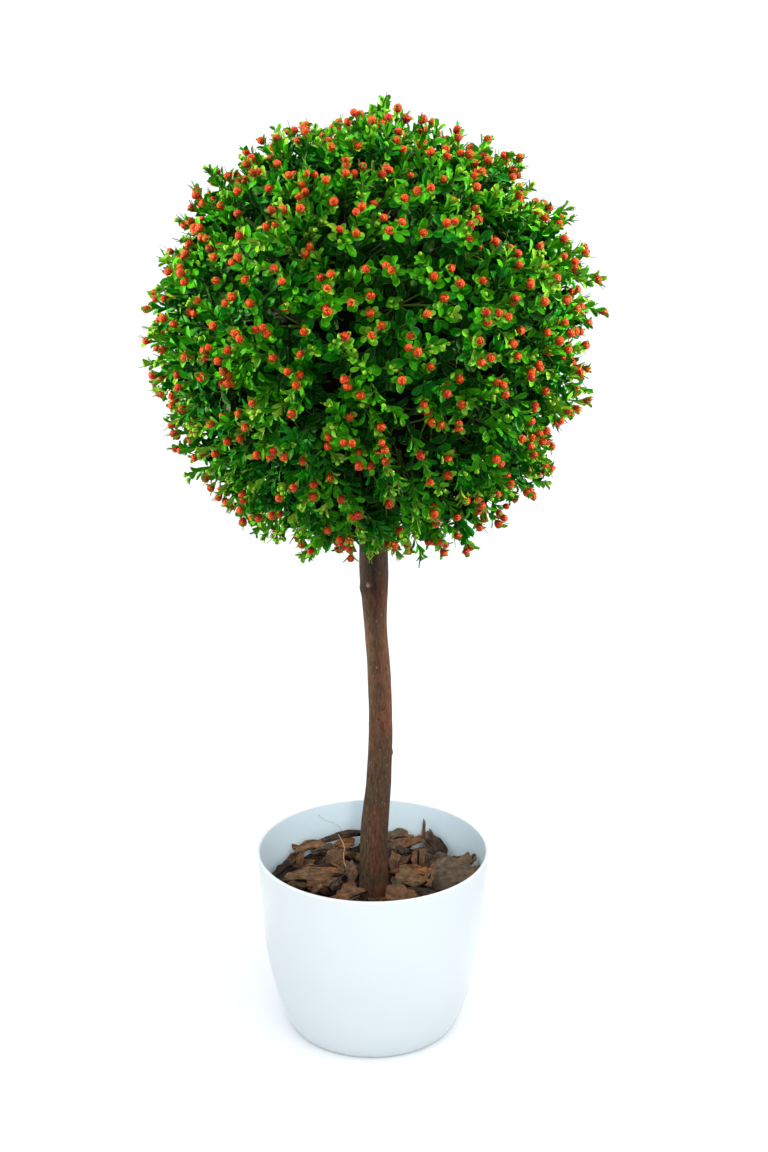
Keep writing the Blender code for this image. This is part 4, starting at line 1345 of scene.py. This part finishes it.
class TOPIARY_OT_crown(bpy.types.Operator):
    """Grow the ball of foliage with its berries on its moulded frame"""

    bl_idname = "topiary.crown"
    bl_label = "Crown"

    def execute(self, context):
        settings = context.scene.topiary_crown
        growth = grow_crown(settings)
        repeat = repeat_tree()

        def put_out(piece, kind, shapes, finish, number=0, unevenness=0.1):
            """Repeats shapes in all the places of a kind, and shows them as one piece."""
            values = {"Shapes": shapes, "Unevenness": unevenness, "Seed": settings.seed + number}
            mesh = grown(piece, growth.carrier(kind), repeat, **values, Finish=finish)
            shown(piece, mesh, *MASSES, slot="foliage")

        sizes = settings.leaf_length, settings.leaf_width
        leaf = templates("leaf", [leaf_shape(*sizes, *bends) for bends in LEAF_BENDS])
        for number, (tone, roughness) in enumerate(LEAF_ROUGHNESS.items()):
            colour = getattr(settings, tone)
            rim = [min(1, channel * RIM_GAIN + more) for channel, more in zip(colour, RIM_LIFT)]
            finish = moulded_leaf(f"Polyethylene leaf moulded {tone}", colour, rim, roughness)
            put_out(f"leaves_{tone}", tone, leaf, finish, number, 0.08)
        put_away(leaf)

        berry = templates("berry", [berry_shape(settings.berry_width)])
        for number, tone in enumerate(("orange", "red")):
            colour = getattr(settings, tone)
            shadow = [share * channel for share, channel in zip(PIT_SHARES, colour)]
            finish = lacquered_berry(f"Foam berry lacquered {tone}", colour, shadow)
            put_out(f"berries_{tone}", "berry " + tone, berry, finish, number, 0.05)
        put_away(berry)

        bud = templates("bud", [berry_shape(BUD_WIDTH)])
        put_out("buds", "bud", bud, moulded_sprig("Polyethylene bud moulded", settings.lime, 0.4))
        put_away(bud)

        finish = moulded_sprig("Polyethylene sprig moulded", settings.stem, 0.5)
        stems = grown("sprig_stems", growth.line_carrier(), tube_tree(), Sides=4, Finish=finish)
        shown("sprig_stems", stems, *MASSES, slot="foliage")
        return {"FINISHED"}


class TOPIARY_OT_ball_frame(bpy.types.Operator):
    """Make the moulded ball that the sprigs are set in"""

    bl_idname = "topiary.ball_frame"
    bl_label = "Ball frame"

    def execute(self, context):
        settings = context.scene.topiary_crown
        finish = moulded_sprig("Polyethylene ball moulded", settings.frame, 0.6)
        # The shell is open below, where the trunk goes in
        opening = math.asin((trunk_at(CROWN_HEIGHT - FRAME_RADIUS)[1] + 0.004) / FRAME_RADIUS)
        walls = []
        for radius in (FRAME_RADIUS, FRAME_RADIUS - FRAME_WALL):
            wall = []
            for step in range(SHELL_STEPS + 1):
                angle = -math.pi / 2 + opening + (math.pi - opening) * step / SHELL_STEPS
                wall.append((radius * math.cos(angle), CROWN_HEIGHT + radius * math.sin(angle)))
            wall[-1] = (SHELL_POLE, wall[-1][1])
            walls.append(wall)
        shell = turned("ball_shell", walls[0] + walls[1][::-1], SHELL_SIDES)
        shell.materials.append(finish)
        shown("ball_shell", shell, *MASSES, slot="foliage")

        work = bmesh.new()
        bmesh.ops.create_icosphere(work, subdivisions=3, radius=FRAME_RADIUS + 0.0006)
        bmesh.ops.translate(work, verts=work.verts, vec=(0, 0, CROWN_HEIGHT))
        points = [vertex.co.copy() for vertex in work.verts]
        edges = [tuple(vertex.index for vertex in edge.verts) for edge in work.edges]
        work.free()
        edges = [ends for ends in edges if all(clear_of_trunk(points[i], RIB_CLEARANCE) for i in ends)]
        lattice = mesh_of("ball_lattice", points, [], edges)
        mark(lattice, "radius", [FRAME_RIB] * len(points))
        ribs = grown("ball_lattice", lattice, tube_tree(), Sides=5, Finish=finish)
        shown("ball_lattice", ribs, *MASSES, slot="foliage")
        return {"FINISHED"}


# Stage

BALL, BED = (0, 0, 0.79), (0, 0.11, 0.185)
WHITE, WARM = (1, 1, 1), (1.0, 0.88, 0.66)
# Soft spots: name, place, aim, cone, radius, tint, and share of power
SPOTS = (
    ("Key", (1.1, -1.6, 2.9), BALL, 10.5, 0.12, WHITE, 0.10),
    ("Rim left", (-2.3, 0.0, 1.3), BALL, 14, 0.25, WARM, 5.8),
    ("Rim right", (2.3, 0.0, 1.3), BALL, 14, 0.25, WARM, 6.0),
    ("Rim top", (0.2, 0.1, 3.0), BALL, 12, 0.25, WARM, 2.8),
    ("Planter", (0.2, -1.5, 1.1), BED, 8, 0.10, WHITE, 0.11),
)
FLOOR_REACH, FLOOR_DROP = 40, 0.0002
CAMERA_PLACE, CAMERA_PITCH = (0.01223, -2.434, 1.415), 20.18


def put_light(kind, name, place, aim, power, **values):
    """Puts up a light that shines from a place to its aim."""
    data = bpy.data.lights.new(name, kind)
    for key, value in {"energy": power, **values}.items():
        setattr(data, key, value)
    lamp = bpy.data.objects.new(name, data)
    lamp.location = place
    lamp.rotation_euler = (Vector(aim) - Vector(place)).to_track_quat("-Z", "Y").to_euler()
    bpy.context.scene.collection.objects.link(lamp)


class TOPIARY_OT_stage(bpy.types.Operator):
    """Lay the floor and set the light and the camera"""

    bl_idname = "topiary.stage"
    bl_label = "Stage"

    def execute(self, context):
        settings = context.scene.topiary_stage
        scene = context.scene
        corners = [(x * FLOOR_REACH, y * FLOOR_REACH, 0) for x, y in ((-1, -1), (1, -1), (1, 1), (-1, 1))]
        mesh = mesh_of("floor", corners, [(0, 1, 2, 3)], smooth=False)
        mesh.materials.append(painted_floor(settings))
        floor = bpy.data.objects.new("floor", mesh)
        floor.location.z = -FLOOR_DROP
        scene.collection.objects.link(floor)

        world = bpy.data.worlds.new("Studio")
        world.use_nodes = True
        background = world.node_tree.nodes["Background"]
        feed(background, {"Color": settings.sky, "Strength": settings.sky_strength})
        scene.world = world

        for name, place, aim, cone, radius, colour, share in SPOTS:
            beam = {"spot_size": math.radians(cone), "spot_blend": 0.4, "shadow_soft_size": radius}
            put_light("SPOT", name, place, aim, settings.spot_power * share, color=colour, **beam)
        wide = {"shape": "RECTANGLE", "size": 1.6, "size_y": 1.2}
        put_light("AREA", "Front", (0.1, -2.6, 1.5), (0, 0, 0.2), settings.front_power, **wide)
        put_light("SUN", "Overhead", (0, 0, 0), (-0.40, 0.5, -1.5), 0.7, angle=math.radians(70))

        data = bpy.data.cameras.new("Camera")
        data.sensor_fit = "VERTICAL"
        data.sensor_height = 36
        data.lens = settings.focal_length
        data.clip_end = 200
        camera = bpy.data.objects.new("Camera", data)
        camera.location = CAMERA_PLACE
        camera.rotation_euler = (math.radians(90 - CAMERA_PITCH), 0, 0)
        scene.collection.objects.link(camera)
        scene.camera = camera
        # The plain display curve keeps the whites white and the greens and reds as bright as the finishes
        scene.view_settings.view_transform = "Standard"
        return {"FINISHED"}


class TOPIARY_PT_panel(bpy.types.Panel):
    """Lists what makes the topiary, with its settings"""

    bl_idname = "TOPIARY_PT_panel"
    bl_label = "Ball topiary"
    bl_space_type = "VIEW_3D"
    bl_region_type = "UI"
    bl_category = "Topiary"

    def draw(self, context):
        for operator in OPERATORS:
            self.layout.operator(operator.bl_idname)
        for name in SETTINGS:
            group = getattr(context.scene, name)
            box = self.layout.box()
            box.label(text=name.replace("topiary_", "").title())
            for key in group.__annotations__:
                box.prop(group, key)


SETTINGS = {
    "topiary_planter": PlanterSettings,
    "topiary_stem": StemSettings,
    "topiary_bark": BarkSettings,
    "topiary_crown": CrownSettings,
    "topiary_stage": StageSettings,
}
OPERATORS = (
    TOPIARY_OT_planter,
    TOPIARY_OT_stem,
    TOPIARY_OT_bark,
    TOPIARY_OT_ball_frame,
    TOPIARY_OT_crown,
    TOPIARY_OT_stage,
)
CLASSES = (*SETTINGS.values(), *OPERATORS, TOPIARY_PT_panel)


def register():
    for each in CLASSES:
        bpy.utils.register_class(each)
    for name, group in SETTINGS.items():
        setattr(bpy.types.Scene, name, PointerProperty(type=group))


def unregister():
    for name in SETTINGS:
        delattr(bpy.types.Scene, name)
    for each in reversed(CLASSES):
        bpy.utils.unregister_class(each)


def main():
    register()
    bpy.ops.topiary.planter()
    bpy.ops.topiary.stem()
    bpy.ops.topiary.bark()
    bpy.ops.topiary.ball_frame()
    bpy.ops.topiary.crown()
    bpy.ops.topiary.stage()


if __name__ == "__main__":
    main()
